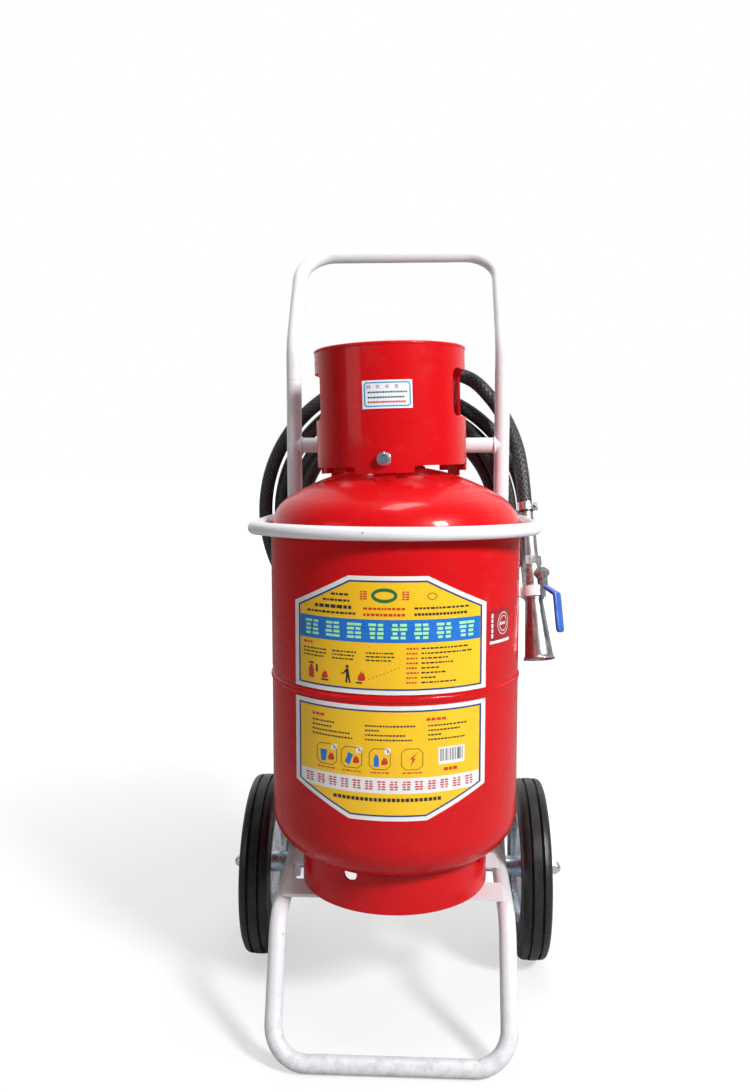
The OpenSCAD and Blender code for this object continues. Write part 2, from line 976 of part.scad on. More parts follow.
module gun_valve_body() {
    color(steel)
        at_gun_valve()
            difference() {
                union() {
                    translate([0, 0, -112]) cylinder(h = 47, r = 13.5);
                    translate([0, 0, gun_stem_z]) rotate([0, 90, 0]) cylinder(h = 19, r = 8.5);
                }
                translate([0, 0, -113]) cylinder(h = 49, r = 7);
                translate([0, 0, gun_stem_z]) sphere(r = ball_r + 0.05);
                translate([0, 0, gun_stem_z]) rotate([0, 90, 0]) cylinder(h = 20, r = 3.05);
            }
}

module gun_ball() {
    color("silver")
        at_gun_valve()
            translate([0, 0, gun_stem_z]) {
                difference() {
                    sphere(r = ball_r);
                    translate([0, 0, -11]) cylinder(h = 22, r = 7);
                }
                translate([8, 0, 0]) rotate([0, 90, 0]) cylinder(h = 19, r = 3);
            }
}

lever_x = 19.5;
lever_t = 2.5;
lever_w = 11;
crank_z = -97;
crank = [18, -13];
core_foot_z = -138;
sleeve_foot_z = -162;

// Side outline of a cranked strip from top_z down to foot_z, with its inner face on lever_x - grow
module lever_outline(top_z, foot_z, grow) {
    inner = lever_x - grow;
    outer = lever_x + lever_t + grow;
    knee = crank_z + crank[1];
    polygon([[inner, top_z], [inner, crank_z - grow / 2], [inner + crank[0], knee - grow / 2],
        [inner + crank[0], foot_z], [outer + crank[0], foot_z], [outer + crank[0], knee + grow / 2],
        [outer, crank_z + grow / 2], [outer, top_z]]);
}

// Plate with its outline seen along Y, width wide
module lever_plate(top_z, foot_z, grow, width) {
    translate([0, width / 2, 0])
        rotate([90, 0, 0]) linear_extrude(height = width) lever_outline(top_z, foot_z, grow);
}

module gun_lever() {
    color(steel)
        at_gun_valve()
            difference() {
                union() {
                    lever_plate(gun_stem_z, core_foot_z, 0, lever_w);
                    translate([lever_x, 0, gun_stem_z])
                        rotate([0, 90, 0]) cylinder(h = lever_t, r = 8);
                }
                translate([lever_x - 1, 0, gun_stem_z])
                    rotate([0, 90, 0]) cylinder(h = lever_t + 2, r = 3);
            }
}

// Moulded grip over the crank and the lower end of the lever
module gun_lever_sleeve() {
    sleeve_w = 14;
    reach = lever_x + crank[0] + 10;
    color([0.10, 0.25, 0.75])
        at_gun_valve()
            difference() {
                intersection() {
                    lever_plate(crank_z, sleeve_foot_z, 1.8, sleeve_w);
                    rotate([0, 90, 0])
                        linear_extrude(height = reach) {
                            translate([-crank_z, -sleeve_w / 2])
                                square([crank_z - sleeve_foot_z - sleeve_w / 2, sleeve_w]);
                            translate([-sleeve_foot_z - sleeve_w / 2, 0])
                                circle(r = sleeve_w / 2);
                        }
                }
                lever_plate(gun_stem_z, core_foot_z, 0, lever_w);
            }
}

module gun_lever_nut() {
    color(zinc)
        at_gun_valve()
            translate([lever_x + lever_t, 0, gun_stem_z])
                rotate([0, 90, 0])
                    difference() {
                        hex_bar(10, 4.5);
                        translate([0, 0, -1]) cylinder(h = 7, r = 3);
                    }
}

// Flared discharge horn with a rolled lip
module nozzle() {
    top = -112;
    mouth = -193;
    color(steel)
        at_gun()
            rotate_extrude(convexity = 6)
                polygon([[7, top], [12, top], [12, top - 6], [19, mouth + 5], [21.3, mouth + 1.5],
                    [21.3, mouth], [19.5, mouth], [17.4, mouth + 5], [8, top - 10]]);
}

/* ---- labels ---- */

skin = 0.3;

// Thin skin on a cylinder of radius r, cut to an outline seen from the front
module wrapped(r, z0, z1, turn) {
    rotate([0, 0, turn])
        intersection() {
            translate([0, 0, z0 - 1]) tube_ring(r + skin, r, z1 - z0 + 2);
            rotate([90, 0, 0]) linear_extrude(height = r + 10) children();
        }
}

label_half = tank_r * sin(45);
label_crest = tank_r * sin(16.6);
label_turn = -1.4;

module upper_label() {
    low = seam_z + 6.5;
    shoulder = low + 101.5;
    crest = low + 136;
    color(yellow)
        at_tank()
            wrapped(tank_r, low, crest, label_turn)
                polygon([[-label_half, low], [label_half, low], [label_half, shoulder],
                    [label_crest, crest], [-label_crest, crest], [-label_half, shoulder]]);
}

module lower_label() {
    high = seam_z - 6.5;
    shoulder = high - 102.5;
    crest = high - 135;
    color(yellow)
        at_tank()
            wrapped(tank_r, crest, high, label_turn)
                polygon([[-label_half, high], [-label_half, shoulder], [-label_crest, crest],
                    [label_crest, crest], [label_half, shoulder], [label_half, high]]);
}

module collar_label() {
    color([0.85, 0.92, 0.98])
        at_collar()
            wrapped(collar_r, 773, 806, -0.5)
                translate([-29.5, 773]) square([59, 33]);
}

module side_label() {
    color([0.55, 0.02, 0.03])
        at_tank()
            wrapped(tank_r, 494, 537, 53.8)
                translate([-23.5, 494]) square([47, 43]);
}

left_rail();
right_rail();
push_handle();
cross_tube();
front_seat_plate();
rear_seat_plate();
axle_brackets();
axle();
axle_washers();
axle_nuts();
left_tyre();
left_wheel_disc();
left_hub();
right_tyre();
right_wheel_disc();
right_hub();
retaining_hoop();
hoop_clamps();
hoop_bolts();
hose_hanger();
gun_holder();
upper_shell();
lower_shell();
weld_seam();
neck_boss();
foot_ring();
powder_charge();
collar();
collar_lugs();
collar_bolts();
valve_body();
neck_seal();
dip_tube();
valve_stem();
valve_spring();
valve_lever();
lever_pivot_pin();
safety_pin();
pull_ring();
gauge_case();
gauge_lens();
outlet_coupling();
outlet_hose_clamp();
hose_lead();
hose_coil();
hose_drop();
gun_hose_clamp();
gun_inlet_pipe();
gun_nut();
gun_valve_body();
gun_ball();
gun_lever();
gun_lever_sleeve();
gun_lever_nut();
nozzle();
upper_label();
lower_label();
collar_label();
side_label();
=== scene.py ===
"""Looks of a wheeled dry-powder fire extinguisher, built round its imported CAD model.

Lengths are in metres in the row frame: +Z up, front of the cylinder towards -Y, gun towards +X.
Helper arguments named mm are in millimetres from the cylinder's axis and the floor.
"""
import json
import math
import random

import bmesh
import bpy
from mathutils import Matrix, Vector, noise


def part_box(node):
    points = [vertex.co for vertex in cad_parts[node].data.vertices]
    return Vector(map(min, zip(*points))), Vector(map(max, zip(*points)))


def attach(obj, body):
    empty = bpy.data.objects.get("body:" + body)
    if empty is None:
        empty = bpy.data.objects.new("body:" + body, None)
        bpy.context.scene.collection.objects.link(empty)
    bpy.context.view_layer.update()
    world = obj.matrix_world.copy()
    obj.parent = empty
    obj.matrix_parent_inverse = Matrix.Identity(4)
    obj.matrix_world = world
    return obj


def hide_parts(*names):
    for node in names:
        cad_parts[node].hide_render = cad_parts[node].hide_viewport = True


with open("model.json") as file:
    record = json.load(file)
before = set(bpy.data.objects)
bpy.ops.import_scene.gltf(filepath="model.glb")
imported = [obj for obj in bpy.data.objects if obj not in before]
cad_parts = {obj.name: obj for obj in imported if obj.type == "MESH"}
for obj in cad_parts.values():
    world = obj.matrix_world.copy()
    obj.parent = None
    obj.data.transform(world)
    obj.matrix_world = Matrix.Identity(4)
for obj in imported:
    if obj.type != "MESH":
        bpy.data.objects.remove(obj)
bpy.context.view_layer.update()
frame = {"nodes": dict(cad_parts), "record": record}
NODES = frame["nodes"]
MM = 0.001
TAU = 2 * math.pi


def middle(node):
    low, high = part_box(node)
    return (low + high) / 2


def size(node):
    low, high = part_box(node)
    return high - low


AXIS_Y = middle("weld_seam").y
TANK_R = size("lower_shell").x / 2
SEAM_Z = middle("weld_seam").z
SHELL_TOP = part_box("upper_shell")[1].z
SHELL_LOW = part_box("lower_shell")[0].z
HOSE_R = 0.010
RAIL_X, RAIL_Y = 145, 115
WHEEL_X, WHEEL_R = 191, 125
COLLAR_R, COLLAR_TURN, COLLAR_Z, COLLAR_SHIFT = 95, -4, 705, -4
BOLT_TURNS = (0, 120, 240)
UP, FRONT, BACK = Vector((0, 0, 1)), (0, -1, 0), (0, 1, 0)
AXIS_HOLE = 0.02


def turn(degrees, axis="Z"):
    return Matrix.Rotation(math.radians(degrees), 4, axis)


def shift(x, y, z):
    return Matrix.Translation((x, y, z))


# Frames from millimetres on the cylinder's axis, the guard's axis and the gun's axis
TANK = shift(0, AXIS_Y, 0) @ Matrix.Scale(MM, 4)
COLLAR = TANK @ shift(COLLAR_SHIFT, 0, COLLAR_Z) @ turn(-1.6, "Y") @ shift(0, 0, -COLLAR_Z)
GUN = TANK @ shift(178.5, 92, 631) @ turn(-4, "Y") @ turn(-18, "X")
GUN_VALVE = GUN @ turn(-45)


def at(x, y, z):
    """A point given in millimetres from the cylinder's axis and the floor."""
    return Vector((x * MM, y * MM + AXIS_Y, z * MM))


# ---------------------------------------------------------------- materials

class Graph:
    """A Principled material and short ways to add nodes to it."""

    def __init__(self, name, colour, roughness, **sockets):
        self.material = bpy.data.materials.new(name)
        self.material.use_nodes = True
        self.tree = self.material.node_tree
        self.shader = self.tree.nodes["Principled BSDF"]
        self.set("Base Color", (*colour, 1))
        self.set("Roughness", roughness)
        for socket, value in sockets.items():
            self.set(socket.replace("_", " "), value)
        self.coords = self.node("ShaderNodeTexCoord").outputs["Object"]

    def feed(self, target, value):
        """Links a socket to target, or stores a plain value in it."""
        if isinstance(value, bpy.types.NodeSocket):
            self.tree.links.new(value, target)
        else:
            target.default_value = value

    def set(self, socket, value):
        self.feed(self.shader.inputs[socket], value)

    def node(self, kind, settings=None, **inputs):
        """A node with settings; its inputs are given by name, or by number as i0, i1 and so on."""
        made = self.tree.nodes.new(kind)
        for key, value in (settings or {}).items():
            setattr(made, key, value)
        for key, value in inputs.items():
            numbered = key[0] == "i" and key[1:].isdigit()
            self.feed(made.inputs[int(key[1:]) if numbered else key], value)
        return made

    def noise(self, scale, detail=4.0, roughness=0.55, stretch=None):
        source = self.coords
        if stretch:
            source = self.node("ShaderNodeMapping", Vector=source, Scale=stretch).outputs[0]
        return self.node("ShaderNodeTexNoise", Vector=source, Scale=scale, Detail=detail,
                         Roughness=roughness).outputs["Fac"]

    def spots(self, scale):
        cells = self.node("ShaderNodeTexVoronoi", Vector=self.coords, Scale=scale)
        return cells.outputs["Distance"]

    def band(self, value, low, high, out_low=0.0, out_high=1.0):
        """value taken from low..high to out_low..out_high, clamped."""
        return self.node("ShaderNodeMapRange", i0=value, i1=low, i2=high, i3=out_low,
                         i4=out_high).outputs[0]

    def math(self, operation, a, b=0.0):
        return self.node("ShaderNodeMath", {"operation": operation}, i0=a, i1=b).outputs[0]

    def mix(self, factor, a, b):
        a = a if isinstance(a, bpy.types.NodeSocket) else (*a, 1)
        b = b if isinstance(b, bpy.types.NodeSocket) else (*b, 1)
        return self.node("ShaderNodeMix", {"data_type": "RGBA"}, i0=factor, i6=a, i7=b).outputs[2]

    def height_z(self):
        return self.node("ShaderNodeSeparateXYZ", Vector=self.coords).outputs["Z"]

    def bump(self, *layers):
        """layers are (height, strength, distance in metres); they stack."""
        normal = None
        for height, strength, distance in layers:
            made = self.node("ShaderNodeBump", Height=height, Strength=strength,
                             Distance=distance)
            if normal:
                self.tree.links.new(normal, made.inputs["Normal"])
            normal = made.outputs[0]
        self.set("Normal", normal)


def red_paint():
    g = Graph("red_paint", (0.60, 0.006, 0.009), 0.3, Coat_Weight=0.25, Coat_Roughness=0.07,
              Specular_IOR_Level=0.10)
    cloud = g.band(g.noise(7, 3), 0.35, 0.7)
    colour = g.mix(cloud, (0.62, 0.006, 0.009), (0.56, 0.005, 0.008))
    z = g.height_z()
    guard_rim = g.band(z, SHELL_TOP + 0.136, SHELL_TOP + 0.144)
    foot_rim = g.band(z, SHELL_LOW + 0.001, SHELL_LOW - 0.018)
    wear = g.math("MULTIPLY", g.math("MAXIMUM", guard_rim, foot_rim), 0.07)
    chips = g.math("GREATER_THAN", g.math("ADD", g.noise(260, 5, 0.65), wear), 0.735)
    colour = g.mix(chips, colour, (0.16, 0.012, 0.012))
    scratch = g.band(g.noise(60, 2, 0.4, stretch=(1.0, 1.0, 14.0)), 0.755, 0.77)
    colour = g.mix(g.math("MULTIPLY", scratch, 0.35), colour, (0.80, 0.20, 0.20))
    dust = g.band(g.noise(24, 6, 0.7), 0.56, 0.75, 0, 0.10)
    colour = g.mix(dust, colour, (0.55, 0.16, 0.15))
    g.set("Base Color", colour)
    g.set("Roughness", g.band(g.noise(18, 5), 0.3, 0.75, 0.22, 0.36))
    g.bump((g.noise(420, 2, 0.4), 0.12, 0.0004), (g.noise(11, 2, 0.4), 0.10, 0.002),
           (chips, 0.4, 0.0001))
    return g.material


def white_paint():
    g = Graph("white_paint", (0.82, 0.82, 0.85), 0.35, Coat_Weight=0.35, Coat_Roughness=0.16)
    cloud = g.band(g.noise(14, 4), 0.35, 0.7)
    colour = g.mix(cloud, (0.83, 0.83, 0.86), (0.76, 0.765, 0.80))
    grime = g.band(g.noise(38, 7, 0.72), 0.60, 0.82, 0, 0.30)
    colour = g.mix(grime, colour, (0.42, 0.38, 0.34))
    nicks = g.math("LESS_THAN", g.spots(46), 0.055)
    colour = g.mix(g.math("MULTIPLY", nicks, 0.7), colour, (0.12, 0.10, 0.09))
    low = g.band(g.height_z(), 0.11, 0.0, 0, 0.35)
    scuff = g.math("MULTIPLY", low, g.band(g.noise(90, 6, 0.7), 0.45, 0.62))
    colour = g.mix(scuff, colour, (0.30, 0.29, 0.28))
    g.set("Base Color", colour)
    g.set("Roughness", g.band(g.noise(30, 4), 0.3, 0.7, 0.28, 0.46))
    g.bump((g.noise(330, 2, 0.5), 0.14, 0.0005), (nicks, 0.5, 0.0002))
    return g.material


def zinc_plate():
    g = Graph("zinc_plate", (0.70, 0.76, 0.84), 0.26, Metallic=1.0)
    tint = g.band(g.noise(26, 3), 0.35, 0.68)
    colour = g.mix(tint, (0.62, 0.74, 0.88), (0.84, 0.84, 0.80))
    dull = g.band(g.noise(120, 6, 0.7), 0.55, 0.78, 0, 0.6)
    colour = g.mix(dull, colour, (0.44, 0.46, 0.48))
    g.set("Base Color", colour)
    g.set("Roughness", g.band(g.noise(75, 5, 0.6), 0.3, 0.75, 0.16, 0.42))
    g.bump((g.noise(600, 3), 0.10, 0.0002))
    return g.material


def cast_steel(name, colour, dark, low_rough, high_rough):
    grain = 180
    g = Graph(name, colour, 0.3, Metallic=1.0)
    tone = g.band(g.noise(grain, 6, 0.66), 0.42, 0.68)
    stain = g.band(g.noise(34, 4, 0.6), 0.5, 0.72, 0, 0.6)
    mixed = g.mix(tone, colour, dark)
    g.set("Base Color", g.mix(stain, mixed, tuple(0.55 * c for c in dark)))
    g.set("Roughness", g.band(g.noise(grain * 0.6, 5), 0.3, 0.75, low_rough, high_rough))
    g.bump((g.noise(grain * 2.2, 4, 0.6), 0.25, 0.0003), (g.noise(55, 3), 0.15, 0.0008))
    return g.material


def drawn_steel():
    g = Graph("drawn_steel", (0.46, 0.45, 0.44), 0.35, Metallic=1.0)
    streak = g.noise(120, 5, 0.6, stretch=(1.0, 1.0, 0.06))
    blotch = g.band(g.noise(40, 4, 0.65), 0.5, 0.72, 0, 0.55)
    colour = g.mix(g.band(streak, 0.35, 0.7), (0.52, 0.51, 0.50), (0.27, 0.26, 0.26))
    g.set("Base Color", g.mix(blotch, colour, (0.13, 0.12, 0.12)))
    g.set("Roughness", g.band(streak, 0.3, 0.7, 0.30, 0.50))
    g.bump((streak, 0.25, 0.0003), (g.noise(500, 3), 0.12, 0.0002))
    return g.material


def brass():
    g = Graph("brass", (0.74, 0.55, 0.26), 0.3, Metallic=1.0)
    tone = g.band(g.noise(60, 5, 0.6), 0.35, 0.7)
    g.set("Base Color", g.mix(tone, (0.78, 0.58, 0.28), (0.52, 0.36, 0.16)))
    g.set("Roughness", g.band(g.noise(90, 4), 0.3, 0.7, 0.22, 0.42))
    g.bump((g.noise(420, 3), 0.15, 0.0003))
    return g.material


def tyre_rubber():
    g = Graph("tyre_rubber", (0.012, 0.012, 0.013), 0.42, Specular_IOR_Level=0.5)
    dust = g.band(g.noise(52, 6, 0.7), 0.48, 0.75, 0, 0.55)
    colour = g.mix(dust, (0.010, 0.010, 0.011), (0.050, 0.047, 0.045))
    grey = g.math("LESS_THAN", g.spots(120), 0.05)
    g.set("Base Color", g.mix(grey, colour, (0.20, 0.20, 0.19)))
    g.set("Roughness", g.band(g.noise(24, 4), 0.3, 0.7, 0.30, 0.52))
    g.bump((g.noise(700, 4, 0.6), 0.22, 0.0003), (g.noise(45, 3), 0.12, 0.0008))
    return g.material


def hose_rubber():
    """Black rubber with the diamond print of its wrapping cloth and a dusty bloom."""
    g = Graph("hose_rubber", (0.013, 0.013, 0.014), 0.42)
    uv = g.node("ShaderNodeUVMap", {"uv_map": "along"}).outputs[0]
    parts = g.node("ShaderNodeSeparateXYZ", Vector=uv).outputs
    diamonds_round, diamond_length = 10, 0.0085
    around = g.math("MULTIPLY", parts["X"], diamonds_round * TAU)
    along = g.math("MULTIPLY", parts["Y"], TAU / diamond_length)
    one = g.math("SINE", g.math("ADD", around, along))
    two = g.math("SINE", g.math("SUBTRACT", around, along))
    weave = g.math("MAXIMUM", one, two)
    fray = g.band(g.noise(60, 5, 0.7), 0.42, 0.7)
    colour = g.mix(g.math("MULTIPLY", g.band(weave, 0.2, 1.0), 0.8), (0.006, 0.006, 0.007),
                   (0.055, 0.055, 0.056))
    g.set("Base Color", g.mix(g.math("MULTIPLY", fray, 0.4), colour, (0.060, 0.058, 0.056)))
    g.set("Roughness", g.band(weave, -0.5, 1.0, 0.55, 0.34))
    g.bump((weave, 0.55, 0.0005), (g.noise(900, 3), 0.15, 0.0002))
    return g.material


def plastic(name, colour, second, roughness, coat):
    g = Graph(name, colour, roughness, Coat_Weight=coat, Coat_Roughness=0.12)
    g.set("Base Color", g.mix(g.band(g.noise(60, 5), 0.35, 0.7), colour, second))
    g.set("Roughness", g.band(g.noise(130, 4), 0.3, 0.7, roughness - 0.08, roughness + 0.1))
    g.bump((g.noise(520, 3), 0.12, 0.0003), (g.noise(60, 2), 0.10, 0.0008))
    return g.material


def printed(name, colour):
    """Ink on a vinyl label: a little sheen, faint mottling and tiny creases."""
    g = Graph(name, colour, 0.34, Coat_Weight=0.25, Coat_Roughness=0.2)
    pale = tuple(c + (1 - c) * 0.25 for c in colour)
    mottle = g.band(g.noise(160, 5, 0.7), 0.55, 0.8, 0, 0.24)
    tone = g.mix(g.band(g.noise(9, 2), 0.3, 0.7), colour, tuple(0.9 * c for c in colour))
    g.set("Base Color", g.mix(mottle, tone, pale))
    g.set("Roughness", g.band(g.noise(50, 4), 0.3, 0.7, 0.27, 0.42))
    g.bump((g.noise(38, 3), 0.08, 0.0008), (g.noise(600, 2), 0.06, 0.0002))
    return g.material


def glass():
    return Graph("gauge_glass", (0.95, 0.97, 0.98), 0.05, Transmission_Weight=1.0,
                 IOR=1.47).material


def powder():
    g = Graph("powder", (0.80, 0.66, 0.70), 0.9)
    g.set("Base Color", g.mix(g.noise(300, 6), (0.84, 0.72, 0.76), (0.70, 0.56, 0.60)))
    g.bump((g.noise(900, 5), 0.4, 0.0005))
    return g.material


RED = red_paint()
WHITE = white_paint()
ZINC = zinc_plate()
STEEL = cast_steel("cast_steel", (0.52, 0.51, 0.50), (0.22, 0.21, 0.20), 0.30, 0.52)
DRAWN = drawn_steel()
SPRING = cast_steel("spring_steel", (0.50, 0.50, 0.52), (0.32, 0.32, 0.33), 0.2, 0.35)
BRASS = brass()
TYRE = tyre_rubber()
HOSE = hose_rubber()
SEAL = plastic("seal_rubber", (0.02, 0.02, 0.02), (0.035, 0.035, 0.035), 0.5, 0.0)
BLACK = plastic("black_plastic", (0.018, 0.018, 0.019), (0.03, 0.03, 0.03), 0.38, 0.2)
BLUE = plastic("blue_vinyl", (0.035, 0.13, 0.55), (0.028, 0.105, 0.47), 0.32, 0.5)
GLASS = glass()
POWDER = powder()
INK = {name: printed("ink_" + name, colour) for name, colour in (
    ("white", (0.86, 0.86, 0.86)), ("yellow", (0.98, 0.57, 0.006)), ("blue", (0.003, 0.17, 0.62)),
    ("navy", (0.012, 0.035, 0.20)), ("mint", (0.42, 0.92, 0.45)), ("black", (0.02, 0.016, 0.014)),
    ("red", (0.62, 0.025, 0.012)), ("green", (0.01, 0.16, 0.05)), ("pale", (0.82, 0.90, 0.96)),
    ("sky", (0.03, 0.30, 0.62)), ("maroon", (0.36, 0.006, 0.012)))}

SLOT_MATERIALS = {
    "white_paint": WHITE, "red_paint": RED, "zinc_plate": ZINC, "plain_steel": STEEL,
    "spring_steel": SPRING, "brass": BRASS, "tyre_rubber": TYRE, "hose_rubber": HOSE,
    "seal_rubber": SEAL, "black_plastic": BLACK, "blue_grip": BLUE, "gauge_glass": GLASS,
    "yellow_label": INK["yellow"], "pale_label": INK["pale"], "dark_label": INK["maroon"],
    "powder": POWDER,
}


# ---------------------------------------------------------------- mesh helpers

def smooth(mesh, degrees):
    mesh.polygons.foreach_set("use_smooth", [True] * len(mesh.polygons))
    mesh.set_sharp_from_angle(angle=math.radians(degrees))


def dress(node, material):
    mesh = NODES[node].data
    mesh.materials.clear()
    mesh.materials.append(material)
    smooth(mesh, 32)


def piece(name, vertices, faces, material, body="trolley", slot=None, degrees=40, replaces=()):
    """A new visible piece: a mesh that rides on a body and may stand for CAD nodes."""
    mesh = bpy.data.meshes.new(name)
    mesh.from_pydata([tuple(v) for v in vertices], [], faces)
    return finish_piece(name, mesh, material, body, degrees, replaces)


def finish_piece(name, mesh, material, body, degrees, replaces):
    """Turns the mesh's faces outwards, gives it its material and puts it on its body."""
    mesh.validate()
    bm = bmesh.new()
    bm.from_mesh(mesh)
    bmesh.ops.recalc_face_normals(bm, faces=bm.faces)
    bm.to_mesh(mesh)
    bm.free()
    smooth(mesh, degrees)
    mesh.materials.append(material)
    obj = bpy.data.objects.new(name, mesh)
    bpy.context.scene.collection.objects.link(obj)
    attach(obj, body)
    if replaces:
        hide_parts(*replaces)
    return obj


def basis(direction):
    """Two unit vectors square to direction."""
    direction = direction.normalized()
    side = UP if abs(direction.z) < 0.9 else Vector((1, 0, 0))
    u = direction.cross(side).normalized()
    return u, direction.cross(u).normalized()


def lathe(origin, direction, profile, steps=128, wobble=None):
    """Vertices and faces of a closed profile (along mm, radius mm) turned about an axis.
    wobble(angle, along, radius) gives millimetres to add to the radius."""
    direction = direction.normalized()
    u, v = basis(direction)
    vertices, faces = [], []
    count = len(profile)
    for i in range(steps):
        angle = TAU * i / steps
        ray = math.cos(angle) * u + math.sin(angle) * v
        for along, radius in profile:
            extra = wobble(angle, along, radius) if wobble else 0
            vertices.append(origin + direction * along * MM + ray * (radius + extra) * MM)
    for i in range(steps):
        j = (i + 1) % steps
        for k in range(count):
            n = (k + 1) % count
            faces.append((i * count + k, i * count + n, j * count + n, j * count + k))
    return vertices, faces


def sweep(points, radius_at, sides=14, closed=False):
    """Mesh of a tube along points; radius_at(i, angle) gives the radius."""
    count = len(points)
    first = (points[1] - points[0]).normalized()
    u, _ = basis(first)
    vertices, faces = [], []
    previous = first
    for i, p in enumerate(points):
        ahead = points[(i + 1) % count] if closed or i + 1 < count else points[i]
        behind = points[i - 1] if closed or i > 0 else points[i]
        tangent = (ahead - behind).normalized()
        u = (previous.rotation_difference(tangent) @ u).normalized()
        u = (u - tangent * u.dot(tangent)).normalized()
        v = tangent.cross(u)
        previous = tangent
        for k in range(sides):
            angle = TAU * k / sides
            vertices.append(p + radius_at(i, angle) * (math.cos(angle) * u + math.sin(angle) * v))
    last = count if closed else count - 1
    for i in range(last):
        j = (i + 1) % count
        for k in range(sides):
            n = (k + 1) % sides
            faces.append((i * sides + k, i * sides + n, j * sides + n, j * sides + k))
    if not closed:
        faces.append(tuple(range(sides - 1, -1, -1)))
        faces.append(tuple((count - 1) * sides + k for k in range(sides)))
    return vertices, faces


def tube_piece(name, points, radius, material, sides=16, **options):
    """A tube with a UV map called along: x is the share of a turn, y the metres along it."""
    vertices, faces = sweep(points, lambda i, a: radius, sides)
    obj = piece(name, vertices, faces, material, degrees=60, **options)
    travelled = distances(points)
    layer = obj.data.uv_layers.new(name="along")
    for poly in obj.data.polygons:
        corners = [obj.data.loops[i].vertex_index for i in poly.loop_indices]
        columns = [c % sides for c in corners]
        wraps = max(columns) - min(columns) > sides / 2
        for loop, corner, column in zip(poly.loop_indices, corners, columns):
            share = column / sides + (1 if wraps and column < sides / 2 else 0)
            layer.data[loop].uv = (share, travelled[corner // sides])
    return obj


def spline(points, spacing):
    """Points along a smooth curve through the given ones, about spacing apart."""
    out = []
    count = len(points)
    for i in range(count - 1):
        a, b = points[i], points[i + 1]
        before = points[i - 1] if i else a * 2 - b
        after = points[i + 2] if i + 2 < count else b * 2 - a
        steps = max(1, round((b - a).length / spacing))
        for k in range(steps):
            t = k / steps
            out.append(0.5 * ((2 * a) + (b - before) * t
                              + (2 * before - 5 * a + 4 * b - after) * t * t
                              + (3 * a - before - 3 * b + after) * t ** 3))
    out.append(points[-1])
    return out


def distances(points):
    """How far along the line of points each of them lies."""
    travelled = [0.0]
    for a, b in zip(points, points[1:]):
        travelled.append(travelled[-1] + (b - a).length)
    return travelled


def bead(name, points, width, material, closed=False):
    """A weld bead with overlapping ripples along a line of points."""
    fine = points if closed else spline(points, 0.0007)
    travelled = distances(fine)
    ripple = 0.0042

    def radius_at(i, angle):
        phase = (travelled[i] % ripple) / ripple
        lump = noise.noise(fine[i] * 160 + Vector((1, 0, 0)))
        return width * (0.86 + 0.16 * abs(math.sin(math.pi * phase)) + 0.16 * lump)

    vertices, faces = sweep(fine, radius_at, 8, closed=closed)
    piece(name, vertices, faces, material, degrees=70)


for entry in frame["record"]["subparts"]:
    dress(entry["node"], SLOT_MATERIALS[entry["material_slot"]])
dress("gun_inlet_pipe", DRAWN)


# ---------------------------------------------------------------- cylinder shells

TANK_MM = TANK_R / MM
SEAM_MM = SEAM_Z / MM
WALL_MM = 2.8
CROWN, KNUCKLE = 1.6 * TANK_MM, 0.308 * TANK_MM
CROWN_DROP = math.sqrt((CROWN - KNUCKLE) ** 2 - (TANK_MM - KNUCKLE) ** 2)


def dome(depth):
    """Outline of the upper head, depth mm inside its surface: (radius mm, height mm) pairs."""
    join = math.atan2(CROWN_DROP, TANK_MM - KNUCKLE)
    points = []
    for k in range(15):
        angle = join * k / 14
        points.append((TANK_MM - KNUCKLE + (KNUCKLE - depth) * math.cos(angle),
                       (KNUCKLE - depth) * math.sin(angle)))
    for k in range(1, 25):
        angle = join + (math.pi / 2 - join) * k / 24
        points.append(((CROWN - depth) * math.cos(angle),
                       (CROWN - depth) * math.sin(angle) - CROWN_DROP))
    return points


TOP_TANGENT_MM = SHELL_TOP / MM - dome(0)[-1][1]
WALL_HEIGHT_MM = 360
LOW_TANGENT_MM = TOP_TANGENT_MM - WALL_HEIGHT_MM


def pressing(name, node, outside, inside):
    """One half of the vessel from (radius mm, height mm) outlines of its two faces."""
    profile = [(z, r) for r, z in outside + inside[::-1]]
    vertices, faces = lathe(Vector((0, AXIS_Y, 0)), UP, profile, 256)
    piece(name, vertices, faces, RED, slot="red_paint", degrees=30, replaces=[node])


def shells():
    """The two pressings. The upper one is stepped in where it meets the seam."""
    step = 1.1
    neck_hole = 36
    up, up_in = ([(r, TOP_TANGENT_MM + h) for r, h in dome(depth) if r > neck_hole]
                 for depth in (0, WALL_MM))
    joggle = [(TANK_MM - step, SEAM_MM + 0.2), (TANK_MM - step, SEAM_MM + 5.5),
              (TANK_MM - 0.35 * step, SEAM_MM + 9), (TANK_MM, SEAM_MM + 12.5)]
    pressing("upper_pressing", "upper_shell", joggle + up,
             [(TANK_MM - WALL_MM - step, SEAM_MM + 0.2)] + up_in)
    down, down_in = ([(r, LOW_TANGENT_MM - h) for r, h in dome(depth)] for depth in (0, WALL_MM))
    down[-1] = (AXIS_HOLE, down[-1][1])
    down_in[-1] = (AXIS_HOLE, down_in[-1][1])
    pressing("lower_pressing", "lower_shell", [(TANK_MM, SEAM_MM)] + down,
             [(TANK_MM - WALL_MM, SEAM_MM)] + down_in)


